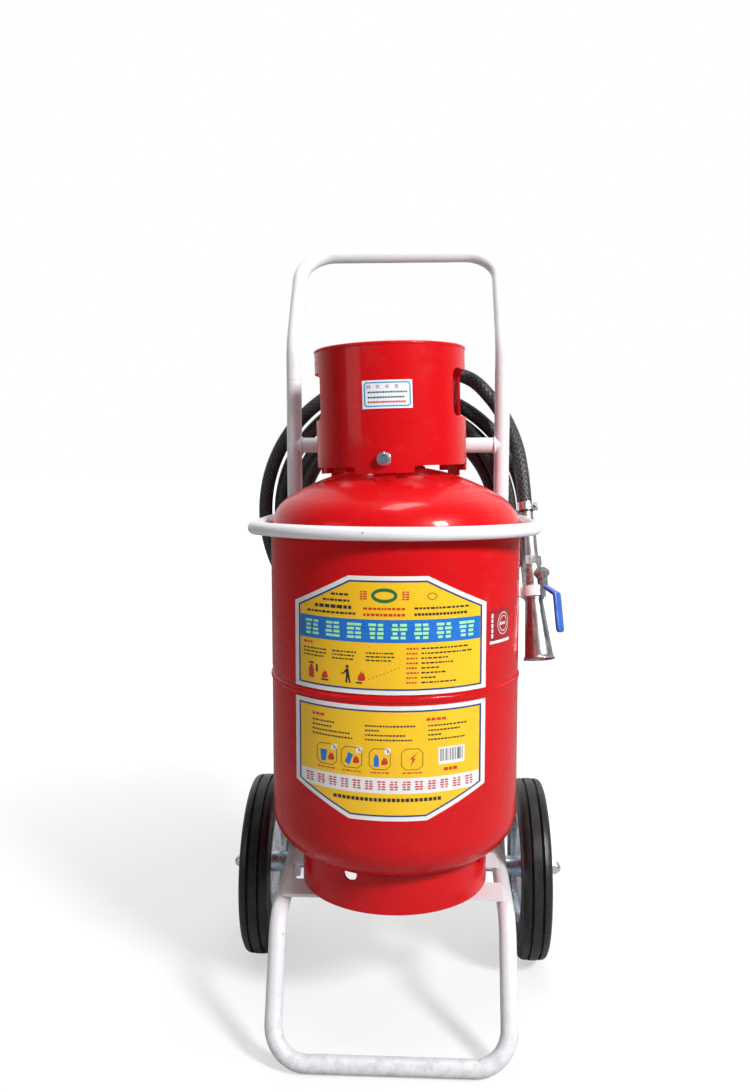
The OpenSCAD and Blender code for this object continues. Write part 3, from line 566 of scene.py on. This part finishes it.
def seam():
    """Machine-welded seam: a low ridge with closely laid ripples."""
    ripples = 230
    width, height = 4.2, 2.4
    root, back = TANK_MM - 1.2, TANK_MM - 2.4
    profile = [(-width * math.cos(math.pi * k / 8), root + height * math.sin(math.pi * k / 8))
               for k in range(9)]
    profile += [(width, back), (-width, back)]

    def ripple(angle, along, radius):
        if radius < root + 0.01:
            return 0
        share = (radius - root) / height
        wave = abs(math.sin(ripples * angle / 2 + 0.5 * along))
        point = Vector((math.cos(angle), math.sin(angle), along * 0.05))
        return share * (0.35 * wave + 0.45 * noise.noise(point * 30))

    vertices, faces = lathe(Vector((0, AXIS_Y, SEAM_Z)), UP, profile, ripples * 6, ripple)
    piece("seam_ridge", vertices, faces, RED, slot="red_paint", degrees=60,
          replaces=["weld_seam"])


shells()
seam()


# ---------------------------------------------------------------- printed labels

# Heights of a skin's two faces over its cylinder, and the width of its facets, in millimetres
VINYL, STICKER, STICKER_PRINT = (0.02, 0.20), (0.02, 0.18), (0.18, 0.21)
FACET = 5
LABEL_TURN = -1.4


def wrap_print(name, shapes, radius_mm, material, layer, degrees=LABEL_TURN, replaces=(),
               place=TANK):
    """Thin closed skins wrapped round the axis of the frame place, turned by degrees.
    Each shape is a list of (x, z) in millimetres seen from the front; layer is a pair of
    heights above radius_mm."""
    low, high = layer
    bm = bmesh.new()
    for outline in shapes:
        part = bmesh.new()
        part.faces.new([part.verts.new((x, 0, z)) for x, z in outline])
        start = min(x for x, z in outline)
        width = max(x for x, z in outline) - start
        cuts = int(width / FACET)
        for k in range(1, cuts + 1):
            where = start + width * k / (cuts + 1)
            bmesh.ops.bisect_plane(part, geom=part.verts[:] + part.edges[:] + part.faces[:],
                                   plane_co=(where, 0, 0), plane_no=(1, 0, 0))
        for v in part.verts:
            v.co.y = low
        made = bmesh.ops.extrude_face_region(part, geom=part.faces[:])
        for v in made["geom"]:
            if isinstance(v, bmesh.types.BMVert):
                v.co.y = high
        carrier = bpy.data.meshes.new("part")
        part.to_mesh(carrier)
        bm.from_mesh(carrier)
        bpy.data.meshes.remove(carrier)
        part.free()
    for v in bm.verts:
        angle = math.asin(max(-1, min(1, v.co.x / radius_mm))) + math.radians(degrees)
        r = radius_mm + v.co.y
        v.co = place @ Vector((r * math.sin(angle), -r * math.cos(angle), v.co.z))
    mesh = bpy.data.meshes.new(name)
    bm.to_mesh(mesh)
    bm.free()
    finish_piece(name, mesh, material, "trolley", 30, replaces)


def rectangle(x, z, w, h):
    return [(x - w / 2, z - h / 2), (x + w / 2, z - h / 2), (x + w / 2, z + h / 2),
            (x - w / 2, z + h / 2)]


def ellipse(x, z, w, h, steps=28):
    return [(x + w / 2 * math.cos(TAU * k / steps), z + h / 2 * math.sin(TAU * k / steps))
            for k in range(steps)]


def inset(outline, amount):
    """A convex outline moved inwards by amount."""
    count = len(outline)
    lines = []
    cx = sum(p[0] for p in outline) / count
    cz = sum(p[1] for p in outline) / count
    for i in range(count):
        a, b = Vector(outline[i]), Vector(outline[(i + 1) % count])
        along = (b - a).normalized()
        normal = Vector((-along.y, along.x))
        if normal.dot(Vector((cx, cz)) - a) < 0:
            normal = -normal
        lines.append((a + normal * amount, along))
    out = []
    for i in range(count):
        (p, d), (q, e) = lines[i - 1], lines[i]
        cross = d.x * e.y - d.y * e.x
        t = ((q - p).x * e.y - (q - p).y * e.x) / cross
        hit = p + d * t
        out.append((hit.x, hit.y))
    return out


def frame_strips(outline, outer, inner):
    """The band between two insets of a convex outline, one four-sided strip per side."""
    a, b = inset(outline, outer), inset(outline, inner)
    count = len(a)
    return [[a[i], a[(i + 1) % count], b[(i + 1) % count], b[i]] for i in range(count)]


def word_bars(x0, x1, z, height, rng, gap=1.1, longest=5.0):
    """A row of short bars that stands for a line of small print."""
    bars = []
    x = x0
    while x < x1 - height:
        w = min(rng.uniform(height * 0.9, longest), x1 - x)
        bars.append(rectangle(x + w / 2, z, w, height))
        x += w + gap
    return bars


def tally(x, z, w, h, rng):
    """A square block of short bars, two columns of four rows with uneven lengths."""
    row_h = h / 4
    bars = []
    for column in (-1, 1):
        for row in range(4):
            length = w * rng.uniform(0.26, 0.46)
            centre = x + column * w * 0.24 + w * rng.uniform(-0.02, 0.02)
            bars.append(rectangle(centre, z + (row - 1.5) * row_h, length, row_h * 0.62))
    return bars


def flame(x, z, s):
    """A small flame with a side tongue."""
    left = [(-0.5, 0.1), (-0.42, 0.5), (-0.2, 0.8), (-0.1, 1.15)]
    right = [(0.08, 0.82), (0.3, 0.98), (0.34, 0.62), (0.5, 0.3), (0.34, -0.02)]
    return [(x + px * s, z + pz * s) for px, pz in [(-0.3, -0.1)] + left + right]


def bottle(x, z, s):
    """Outline of a small cylinder with a neck."""
    half = [(0.30, 0.0), (0.30, 1.0), (0.16, 1.22), (0.16, 1.42)]
    points = half + [(-px, pz) for px, pz in reversed(half)]
    return [(x + px * s, z + pz * s) for px, pz in points]


def bucket(x, z, s):
    return [(x - 0.26 * s, z), (x + 0.26 * s, z), (x + 0.42 * s, z + 1.3 * s),
            (x - 0.42 * s, z + 1.3 * s)]


def figure(x, z, s):
    """A standing person in silhouette, leaning a little, and the hose arm."""
    body = [(-0.18, 0.0), (0.0, 0.0), (0.06, 0.55), (0.2, 0.0), (0.38, 0.0), (0.22, 0.8),
            (0.16, 1.35), (-0.1, 1.4), (-0.34, 1.0), (-0.62, 0.92), (-0.6, 0.8), (-0.3, 0.86),
            (-0.12, 1.05), (-0.1, 0.7)]
    moved = [(x + px * s, z + pz * s) for px, pz in body]
    return [moved, ellipse(x + 0.02 * s, z + 1.58 * s, 0.3 * s, 0.34 * s, 14)]


def frame_ring(x, z, w, h):
    """A thin oval ring as short pieces."""
    outer, inner = ellipse(x, z, w, h, 24), ellipse(x, z, w - 1.6, h - 1.6, 24)
    return [[outer[i], outer[(i + 1) % 24], inner[(i + 1) % 24], inner[i]] for i in range(24)]


def rounded_frame(x, z, w, h, thick, corner):
    """The thin edge of a box whose corners are cut off."""
    left, right, low, high = x - w / 2, x + w / 2, z - h / 2, z + h / 2
    cut = [(left + corner, low), (right - corner, low), (right, low + corner),
           (right, high - corner), (right - corner, high), (left + corner, high),
           (left, high - corner), (left, low + corner)]
    return frame_strips(cut, 0, thick)


# Height of each layer's skin over the cylinder in millimetres; gold is yellow laid on green
LAYERS = {"yellow": 0.20, "blue": 0.24, "white": 0.24, "navy": 0.26, "green": 0.26, "gold": 0.28,
          "mint": 0.28, "black": 0.28, "red": 0.30}
INK_DEPTH = 0.03
PRINT = {layer: [] for layer in LAYERS}
# Half widths of the panels at the seam and at their far edge
HALF = TANK_MM * math.sin(math.radians(45))
CREST = TANK_MM * math.sin(math.radians(16.6))
SEAM_GAP, LINE_START, LINE_END = 6.5, 5.0, 7.0
FIELD_EDGE = HALF - 7.2


def panel(which, edge, shoulder, crest):
    """White vinyl with a navy line and a yellow field, its straight edge next to the seam."""
    outline = [(-HALF, edge), (HALF, edge), (HALF, shoulder), (CREST, crest), (-CREST, crest),
               (-HALF, shoulder)]
    wrap_print(which + "_label_vinyl", [outline], TANK_MM, INK["white"], VINYL,
               replaces=[which + "_label"])
    PRINT["navy"] += frame_strips(outline, LINE_START, LINE_END)
    PRINT["yellow"].append(inset(outline, LINE_END))


def print_lines(lines, datum, rng):
    """Rows of small print: ink, its start and end in x, height over datum, size of the bars
    and, where they differ from the usual ones, gap and longest bar."""
    for ink, x0, x1, above, size_mm, *spacing in lines:
        PRINT[ink] += word_bars(x0, x1, datum + above, size_mm, rng, *spacing)


def upper_print():
    rng = random.Random(4)
    low = SEAM_MM + SEAM_GAP
    panel("upper", low, low + 101.5, low + 136)
    band, band_height = low + 73.25, 26.5
    PRINT["blue"].append(rectangle(0, band, 2 * FIELD_EDGE, band_height))
    for k in range(8):
        PRINT["mint"] += tally((k - 3.5) * 25.6, band, 19, 19.5, rng)
    PRINT["green"].append(ellipse(-4, low + 114, 30, 17))
    PRINT["gold"].append(ellipse(-4, low + 114, 22, 9))
    PRINT["red"] += tally(-28, low + 114, 9, 11, rng) + tally(20, low + 114, 9, 11, rng)
    print_lines((("black", -66, -44, 114, 2.6), ("black", -76, -42, 107, 2.6),
                 ("black", -86, -40, 99.5, 4.0, 1.3, 7), ("black", -96, -34, 92.5, 2.6),
                 ("red", -28, 22, 99, 2.6), ("red", -28, 22, 92, 3.0)), low, rng)
    PRINT["black"] += frame_ring(50, low + 113, 11, 8)
    print_lines((("black", 30, 92, 99.5, 2.4), ("black", 30, 92, 92.5, 3.0, 0.9, 3.6),
                 ("red", -101, -86, 55, 2.4)), low, rng)
    for x0, x1 in ((-101, -72), (-65, -36), (-25, 8)):
        for row in range(3):
            PRINT["black"] += word_bars(x0, x1 - 4 * (row == 2), low + 48 - 4.2 * row, 1.7, rng)
    PRINT["red"].append(bottle(-91, low + 13, 11))
    PRINT["black"] += [rectangle(-91, low + 30.5, 6, 2), rectangle(-84, low + 25, 2.2, 9)]
    PRINT["red"] += [flame(-74, low + 15, 8), flame(-30, low + 16, 9.5)]
    PRINT["black"] += [rectangle(-74, low + 12.6, 9, 1.8), rectangle(-33, low + 13, 7, 2)]
    PRINT["black"] += figure(-47, low + 12, 12)
    for k in range(9):
        PRINT["black"].append(ellipse(-21 + 4.2 * k, low + 18 + 1.7 * k, 1.6, 1.1, 8))
    for row, x1 in enumerate((92, 96, 70, 76, 58, 66, 54, 80)):
        above = 53.5 - 5.6 * row
        print_lines((("red", 21, 35, above, 2.0, 0.8, 3.4), ("black", 38, x1, above, 1.9)),
                    low, rng)


def lower_print():
    rng = random.Random(9)
    high = SEAM_MM - SEAM_GAP
    shoulder, crest = 102.5, 135
    panel("lower", high, high - shoulder, high - crest)
    strip = high - 93
    slant = 8.5 / (crest - shoulder) * (HALF - CREST)
    PRINT["white"].append([(-FIELD_EDGE, strip + 9), (FIELD_EDGE, strip + 9),
                           (FIELD_EDGE, strip - 6), (FIELD_EDGE - slant * 0.45, strip - 9.5),
                           (-FIELD_EDGE + slant * 0.45, strip - 9.5), (-FIELD_EDGE, strip - 6)])
    for k in range(14):
        PRINT["red"] += tally((k - 6.5) * 14.4, strip, 10.5, 11.5, rng)
    print_lines((("black", -64, 66, -110, 4.2, 1.3, 4.2), ("red", -90, -75, -16, 3.0),
                 ("red", 44, 70, -16, 3.2)), high, rng)
    for x0, *ends in ((-90, -60, -64, -44, -40), (-26, 32, -8, 22, 28), (46, 90, 84, 62, 88)):
        print_lines([("black", x0, x1, -23.5 - 5.4 * row, 1.9, 0.9, 3.6)
                     for row, x1 in enumerate(ends)], high, rng)
    boxes = high - 62
    for k, x in enumerate((-72, -42, -9, 28)):
        PRINT["black"] += rounded_frame(x, boxes, 25, 25, 0.7, 5)
        PRINT["red"] += word_bars(x - 11, x + 11, boxes - 16, 1.6, rng)
        if k < 3:
            PRINT["white"].append(rectangle(x + 9, boxes + 9.5, 7, 7))
            PRINT["red"] += [rectangle(x + 9, boxes + 9.5, 1.2, 4), flame(x + 5.5, boxes - 6, 8)]
    PRINT["blue"] += [bucket(-76, boxes - 9, 10.5), bottle(-13, boxes - 9, 10)]
    PRINT["blue"].append([(-50, boxes - 6), (-44.5, boxes - 9), (-40, boxes + 3),
                          (-45.5, boxes + 6)])
    PRINT["red"].append([(26, boxes - 9), (32, boxes + 1), (29, boxes + 1), (35, boxes + 9),
                         (25, boxes), (28.5, boxes)])
    barcode_x, barcode_z, barcode_half = 73, high - 60, 12.5
    PRINT["white"].append(rectangle(barcode_x, barcode_z, 30, 20))
    x = barcode_x - barcode_half
    while x < barcode_x + barcode_half:
        w = rng.choice((0.5, 0.8, 1.2))
        PRINT["black"].append(rectangle(x, barcode_z + 1, w, 14.5))
        x += w + rng.choice((0.6, 0.9, 1.3))
    PRINT["red"] += word_bars(64, 84, high - 76, 4.0, rng, 1.0, 5)


upper_print()
lower_print()
for layer_name, layer_low in LAYERS.items():
    wrap_print("print_" + layer_name, PRINT[layer_name], TANK_MM,
               INK["yellow" if layer_name == "gold" else layer_name],
               (layer_low, layer_low + INK_DEPTH))


def collar_print():
    rng = random.Random(3)
    mid = 789.5

    def stick(name, shapes, material, layer=STICKER_PRINT, replaces=()):
        wrap_print(name, shapes, COLLAR_R, material, layer, -0.5, replaces, COLLAR)

    stick("collar_label_vinyl", [rectangle(0, mid, 59, 33)], INK["pale"], STICKER,
          ["collar_label"])
    stick("collar_print_sky", rounded_frame(0, mid, 55, 29, 1.6, 2.5), INK["sky"])
    red = tally(-22, mid + 9, 5.5, 5, rng)
    for x in (-11, 0, 11):
        red += tally(x, mid + 9, 4.6, 4.4, rng)
    red += word_bars(-23, 23, mid - 9, 2.4, rng, 0.7, 3)
    stick("collar_print_red", red, INK["red"])
    dark = word_bars(-23, 24, mid + 2.5, 2.0, rng, 0.8, 3)
    dark += word_bars(-23, 20, mid - 3.5, 2.0, rng, 0.8, 3)
    stick("collar_print_black", dark, INK["black"])


def side_print():
    rng = random.Random(6)
    degrees = 53.8
    low, mid = 494, 515.5
    wrap_print("side_label_vinyl", [rectangle(0, mid, 47, 43)], TANK_MM, INK["maroon"], STICKER,
               degrees, ["side_label"])
    pale = [rectangle(0, low + 3.6, 43, 3.4)] + frame_ring(6, mid + 3, 25, 27)
    pale += frame_ring(6, mid + 3, 17, 19) + word_bars(-1, 12, mid + 3, 3, rng, 1, 3)
    pale += [rectangle(-17, z, 3.4, w) for z, w in
             ((mid + 14, 5), (mid + 8, 4), (mid + 2, 5), (mid - 4, 4), (mid - 10, 5))]
    wrap_print("side_print_white", pale, TANK_MM, INK["white"], STICKER_PRINT,
               degrees)


collar_print()
side_print()


# ---------------------------------------------------------------- hose

# Millimetres from the cylinder's axis and the floor
LEAD_ROUTE = [
    (0, 57, 780), (0, 85, 780), (6, 112, 780), (24, 140, 779), (50, 163, 776), (82, 172, 766)]
DROP_ROUTE = [
    (0, 176, 836), (40, 176, 839), (76, 174, 838), (108, 170, 826), (133, 165, 801),
    (150, 153, 775), (161.5, 142, 750), (168.6, 129, 726), (172.5, 116.5, 700),
    (174.8, 106.5, 676), (176.4, 99.9, 655), (177.8, 94.8, 639.5)]
COIL_Z, COIL_START, COIL_TURNS = 632, 58.5, 4 - 31.5 / 360
COIL_FRONT_Y, COIL_BACK_Y, COIL_END_Y = 173, 193, 176
COIL_FIRST_R, COIL_INNER_R, COIL_LAST_R = 157, 138, 203.4
COIL_INNERMOST = 0.92


def ease(value, low, high):
    """0 below low, 1 above high and a smooth rise between."""
    t = max(0.0, min(1.0, (value - low) / (high - low)))
    return t * t * (3 - 2 * t)


def coil_points():
    """One turn in front, drawing in, then three turns behind it, opening out to the end."""
    points = []
    steps = round(COIL_TURNS * 60)
    for k in range(1, steps):
        t = COIL_TURNS * k / steps
        if t < COIL_INNERMOST:
            radius = COIL_FIRST_R + (COIL_INNER_R - COIL_FIRST_R) * t / COIL_INNERMOST
        else:
            share = (t - COIL_INNERMOST) / (COIL_TURNS - COIL_INNERMOST)
            radius = COIL_INNER_R + (COIL_LAST_R - COIL_INNER_R) * share
        radius += 0.5 * math.sin(5.3 * t + 1)
        y = COIL_FRONT_Y + (COIL_BACK_Y - COIL_FRONT_Y) * ease(t, 0.72, 1.12)
        y += (COIL_END_Y - COIL_BACK_Y) * ease(t, 3.45, COIL_TURNS)
        angle = math.radians(COIL_START - 360 * t)
        points.append(at(radius * math.cos(angle), y, COIL_Z + radius * math.sin(angle)))
    return points


def hose():
    route = [at(*p) for p in LEAD_ROUTE] + coil_points()[2:-2] + [at(*p) for p in DROP_ROUTE]
    path = spline(route, 0.006)
    obj = tube_piece("discharge_hose", path, HOSE_R, HOSE, 24, slot="hose_rubber",
                     replaces=["hose_lead", "hose_coil", "hose_drop"])


hose()


# ---------------------------------------------------------------- wheels

def tyre(name, side):
    """Solid rubber tyre: three flat ribs, two narrow grooves and a stepped sidewall."""
    half = [(0, 124.9), (5.4, 124.8), (6.0, 124.1), (6.2, 119.6), (7.4, 119.2), (8.6, 119.6),
            (8.8, 124.0), (9.4, 124.5), (14.6, 123.6), (17.4, 121.6), (19.1, 118), (19.8, 112),
            (19.6, 106.6), (18.8, 105.4), (18.8, 99), (19.6, 98), (19.8, 90), (19.2, 83.4),
            (18.2, 80.4), (17.6, 78.6), (17.6, 76.1)]
    profile = half + [(-along, r) for along, r in reversed(half[1:])]

    def press(angle, along, radius):
        return 0.12 * noise.noise(Vector((math.cos(angle), math.sin(angle), along * 0.02)) * 6)

    origin = at(side * WHEEL_X, RAIL_Y, WHEEL_R)
    vertices, faces = lathe(origin, Vector((side, 0, 0)), profile, 192, press)
    piece(name + "_tyre_moulded", vertices, faces, TYRE, body=name, slot="tyre_rubber",
          degrees=34, replaces=[name.replace("wheel", "tyre")])


tyre("left_wheel", -1)
tyre("right_wheel", 1)


# ---------------------------------------------------------------- bolts

def merged(parts):
    """One list of vertices and faces out of several."""
    vertices, faces = [], []
    for some_vertices, some_faces in parts:
        base = len(vertices)
        vertices += some_vertices
        faces += [tuple(base + i for i in face) for face in some_faces]
    return vertices, faces


def turned(place, direction, profile, steps=48, wobble=None):
    """A lathe part whose axis is direction through the origin of the frame place."""
    return lathe(place.translation, place.to_3x3() @ Vector(direction), profile, steps, wobble)


def hexagon(place, direction, across, start, end):
    """A hexagonal head with its outer edge at end turned off round."""
    corner = across / 2 / math.cos(math.pi / 6)
    chamfer, flat = 0.09 * across, 0.47 * across
    rings = [(end - chamfer * k / 5, flat + (corner - flat) * k / 5) for k in range(6)]
    profile = [(start, AXIS_HOLE), (start, corner)] + rings[::-1] + [(end, AXIS_HOLE)]

    def flats(angle, along, radius):
        edge = across / 2 / math.cos((angle % (math.pi / 3)) - math.pi / 6)
        return min(edge, radius) - radius

    return turned(place, direction, profile, 96, flats)


def bolts(name, parts, node):
    vertices, faces = merged(parts)
    piece(name, vertices, faces, ZINC, slot="zinc_plate", degrees=28, replaces=[node])


def guard_bolts():
    """Bolt head and washer outside each tab, nut and thread inside."""
    bolt_z = 714
    washer = [(0.02, 4.2), (0.02, 8.5), (1.1, 8.5), (1.4, 8.1), (1.4, 4.2)]
    thread = [(0.5 * k, 4.0 - 0.45 * (k % 2)) for k in range(34)]
    shank = [(0, AXIS_HOLE)] + thread + [(17, AXIS_HOLE)]
    parts = []
    for degrees in BOLT_TURNS:
        place = COLLAR @ turn(COLLAR_TURN + degrees) @ shift(0, -COLLAR_R, bolt_z)
        parts += [hexagon(place, FRONT, 14, 1.4, 6.9), turned(place, FRONT, washer),
                  hexagon(place, BACK, 13, 8.4, 14.4), turned(place, BACK, shank, 24)]
    bolts("guard_bolts", parts, "collar_bolts")


def clamp_bolts():
    """Two bolts beside each rail that draw the hoop's clamps together."""
    clamp_z, reach = 630.9, 19
    shank = [(4, AXIS_HOLE), (4, 3), (9.6, 3), (10, 2.6), (10, AXIS_HOLE)]
    parts = []
    for x in (-RAIL_X - reach, -RAIL_X + reach, RAIL_X - reach, RAIL_X + reach):
        place = TANK @ shift(x, RAIL_Y, clamp_z)
        parts += [hexagon(place, FRONT, 10, 4.1, 8), hexagon(place, BACK, 10, 4.1, 8.5),
                  turned(place, BACK, shank, 32)]
    bolts("clamp_bolts", parts, "hoop_bolts")


guard_bolts()
clamp_bolts()


# ---------------------------------------------------------------- discharge gun

def horn():
    """Drawn steel horn whose mouth is turned back into a small bead."""
    profile = [(112, 7.2), (112, 11.6), (112.4, 12), (118, 12), (122, 12.6), (186, 18.6),
               (189, 19.5), (190.6, 20.5), (191.6, 21.1), (192.5, 21.1), (193, 20.4),
               (192.8, 19.6), (191.6, 19.0), (189, 18.3), (186, 17.5), (122, 8.2)]
    vertices, faces = turned(GUN, (0, 0, -1), profile, 96)
    piece("horn", vertices, faces, DRAWN, slot="plain_steel", degrees=30, replaces=["nozzle"])


def sleeve():
    """Dipped vinyl grip: a flat rounded bar along the cranked lever."""
    crank = ((20.9, -97.3), (23.4, -99.4), (36.6, -109.2), (38.75, -113.4), (38.75, -138),
             (38.75, -161.6))
    path = spline([Vector((x, 0, z)) for x, z in crank], 1.0)
    squareness = 3.2

    def radius_at(i, angle):
        left = min(i, len(path) - 1 - i)
        full = math.sqrt(max(0.1, 1 - max(0, 1 - (left + 0.6) / 5) ** 2))
        wide, thick = 6.8 * full, 3.1 * (0.55 + 0.45 * full)
        shape = (abs(math.cos(angle)) / wide) ** squareness \
            + (abs(math.sin(angle)) / thick) ** squareness
        return shape ** (-1 / squareness)

    vertices, faces = sweep(path, radius_at, 40)
    piece("lever_sleeve_dipped", [GUN_VALVE @ v for v in vertices], faces, BLUE,
          body="gun_handle", slot="blue_grip", degrees=50, replaces=["gun_lever_sleeve"])


horn()
sleeve()


# ---------------------------------------------------------------- welds

def circle(centre, direction, radius, count):
    """Points of a full circle, given in millimetres from the cylinder's axis."""
    u, v = basis(Vector(direction))
    return [at(*(Vector(centre) + radius * (math.cos(TAU * k / count) * u
                                            + math.sin(TAU * k / count) * v)))
            for k in range(count)]


def dome_z(radius):
    """Height of the cylinder's upper head at a radius inside its crown."""
    return TOP_TANGENT_MM + math.sqrt(CROWN ** 2 - radius ** 2) - CROWN_DROP


def ring_bead(name, centre, direction, radius, width, material=WHITE, count=120):
    """A weld bead all round a tube or boss."""
    bead(name, circle(centre, direction, radius, count), width, material, closed=True)


def frame_welds():
    """Cross tube, handle joints, hanger prongs, seat plates and the joint of the foot bar."""
    across = (1, 0, 0)
    cross_x, cross_z, handle_z = 134.6, 733, 825
    prong, prong_direction = (35, 125.4, 738.2), (0, 0.86, -0.1)
    plate_x, plate_z = 139.2, 162.6
    foot_bar = (0, -175, 10.5)
    for side, tag in ((-1, "left"), (1, "right")):
        ring_bead("weld_cross_" + tag, (side * cross_x, RAIL_Y, cross_z), across, 10.9, 0.0016)
        ring_bead("weld_handle_" + tag, (side * RAIL_X, RAIL_Y, handle_z), UP, 10.3, 0.0006)
        ring_bead("weld_hanger_" + tag, (side * prong[0], *prong[1:]), prong_direction, 5.0,
                  0.0013, count=60)
        for plate, y0, y1 in (("front", -70, -28), ("rear", 27, 65)):
            line = [at(side * plate_x, y0 + (y1 - y0) * k / 6, plate_z) for k in range(7)]
            bead("weld_seat_" + plate + "_" + tag, line, 0.0017, WHITE)
    ring_bead("weld_foot_bar", foot_bar, across, 9.85, 0.0006)


def tank_welds():
    """Foot ring between its vents, neck boss, and the front edge of each lug of the guard."""
    ring_r, ring_z, first, sweep_angle = 121.4, 216.4, -110.1, 80.2
    for k in range(4):
        start = math.radians(first + 90 * k)
        arc = [start + math.radians(sweep_angle) * j / 40 for j in range(41)]
        bead("weld_foot_ring_" + str(k),
             [at(ring_r * math.cos(a), ring_r * math.sin(a), ring_z) for a in arc], 0.0021, RED)
    neck_r, lug_y, lug_lift = 36.4, -90.9, 0.5
    ring_bead("weld_neck", (0, 0, dome_z(neck_r)), UP, neck_r, 0.0022, RED, 200)
    for number, degrees in enumerate(BOLT_TURNS):
        points = []
        for k in range(7):
            foot = turn(COLLAR_TURN + degrees) @ Vector((-12 + 4 * k, lug_y, 0))
            foot.x += COLLAR_SHIFT
            points.append(at(foot.x, foot.y, dome_z(math.hypot(foot.x, foot.y)) + lug_lift))
        bead("weld_lug_" + str(number), points, 0.0019, RED)


frame_welds()
tank_welds()


# ---------------------------------------------------------------- camera, lights, floor

def area_light(name, place, target, width, height, power):
    data = bpy.data.lights.new(name, "AREA")
    data.shape = "RECTANGLE"
    data.size, data.size_y = width, height
    data.energy = power
    obj = bpy.data.objects.new(name, data)
    obj.location = place
    obj.rotation_euler = (Vector(target) - Vector(place)).to_track_quat("-Z", "Y").to_euler()
    bpy.context.scene.collection.objects.link(obj)


def studio_world():
    """White behind the object, dim in front of it, and plain white to the camera."""
    world = bpy.data.worlds.new("studio")
    world.use_nodes = True
    tree = world.node_tree
    nodes = tree.nodes
    back = nodes["Background"]
    coords = nodes.new("ShaderNodeTexCoord")
    parts = nodes.new("ShaderNodeSeparateXYZ")
    ramp = nodes.new("ShaderNodeMapRange")
    rays = nodes.new("ShaderNodeLightPath")
    seen = nodes.new("ShaderNodeMath")
    seen.operation = "MAXIMUM"
    for key, value in (("From Min", -0.05), ("From Max", 0.6), ("To Min", 0.08), ("To Max", 0.9)):
        ramp.inputs[key].default_value = value
    tree.links.new(coords.outputs["Generated"], parts.inputs[0])
    tree.links.new(parts.outputs["Y"], ramp.inputs[0])
    tree.links.new(ramp.outputs[0], seen.inputs[0])
    tree.links.new(rays.outputs["Is Camera Ray"], seen.inputs[1])
    tree.links.new(seen.outputs[0], back.inputs["Strength"])
    back.inputs["Color"].default_value = (1, 1, 1, 1)
    bpy.context.scene.world = world
    bpy.context.scene.view_settings.view_transform = "Standard"


def floor():
    """A white floor that glows a little, and fully far from the object, so it has no edge."""
    half = 30
    vertices = [(-half, -half, 0), (half, -half, 0), (half, half, 0), (-half, half, 0)]
    mesh = bpy.data.meshes.new("floor")
    mesh.from_pydata(vertices, [], [(0, 1, 2, 3)])
    ground = bpy.data.objects.new("floor", mesh)
    bpy.context.scene.collection.objects.link(ground)
    g = Graph("floor_paper", (0.42, 0.42, 0.425), 0.75, Specular_IOR_Level=0.1)
    away = g.node("ShaderNodeVectorMath", {"operation": "LENGTH"}, i0=g.coords).outputs["Value"]
    seen = g.node("ShaderNodeLightPath").outputs["Is Camera Ray"]
    g.set("Emission Color", (1, 1, 1, 1))
    g.set("Emission Strength", g.math("MULTIPLY", g.band(away, 0.5, 1.9, 0.56, 1.0), seen))
    mesh.materials.append(g.material)


def lights():
    area_light("key", (1.78, -1.75, 2.15), (0, AXIS_Y, 0.5), 0.55, 0.55, 106)
    area_light("top", (0.12, AXIS_Y - 0.05, 2.5), (0.02, AXIS_Y, 0.6), 1.0, 0.4, 15)
    area_light("left_card", (-1.9, -1.4, 1.3), (0, AXIS_Y, 0.5), 1.0, 1.2, 6)


def camera():
    data = bpy.data.cameras.new("camera")
    focal_pixels, frame_pixels, sensor = 930, 1092, 36
    look_down, look_left = 5.34, 2.78
    data.sensor_width = sensor
    data.lens = sensor * focal_pixels / frame_pixels
    obj = bpy.data.objects.new("camera", data)
    obj.location = at(32, -1195, 713.6)
    obj.rotation_euler = (math.radians(90 - look_down), 0, math.radians(look_left))
    bpy.context.scene.collection.objects.link(obj)
    bpy.context.scene.camera = obj


studio_world()
floor()
lights()
camera()

bpy.context.view_layer.update()
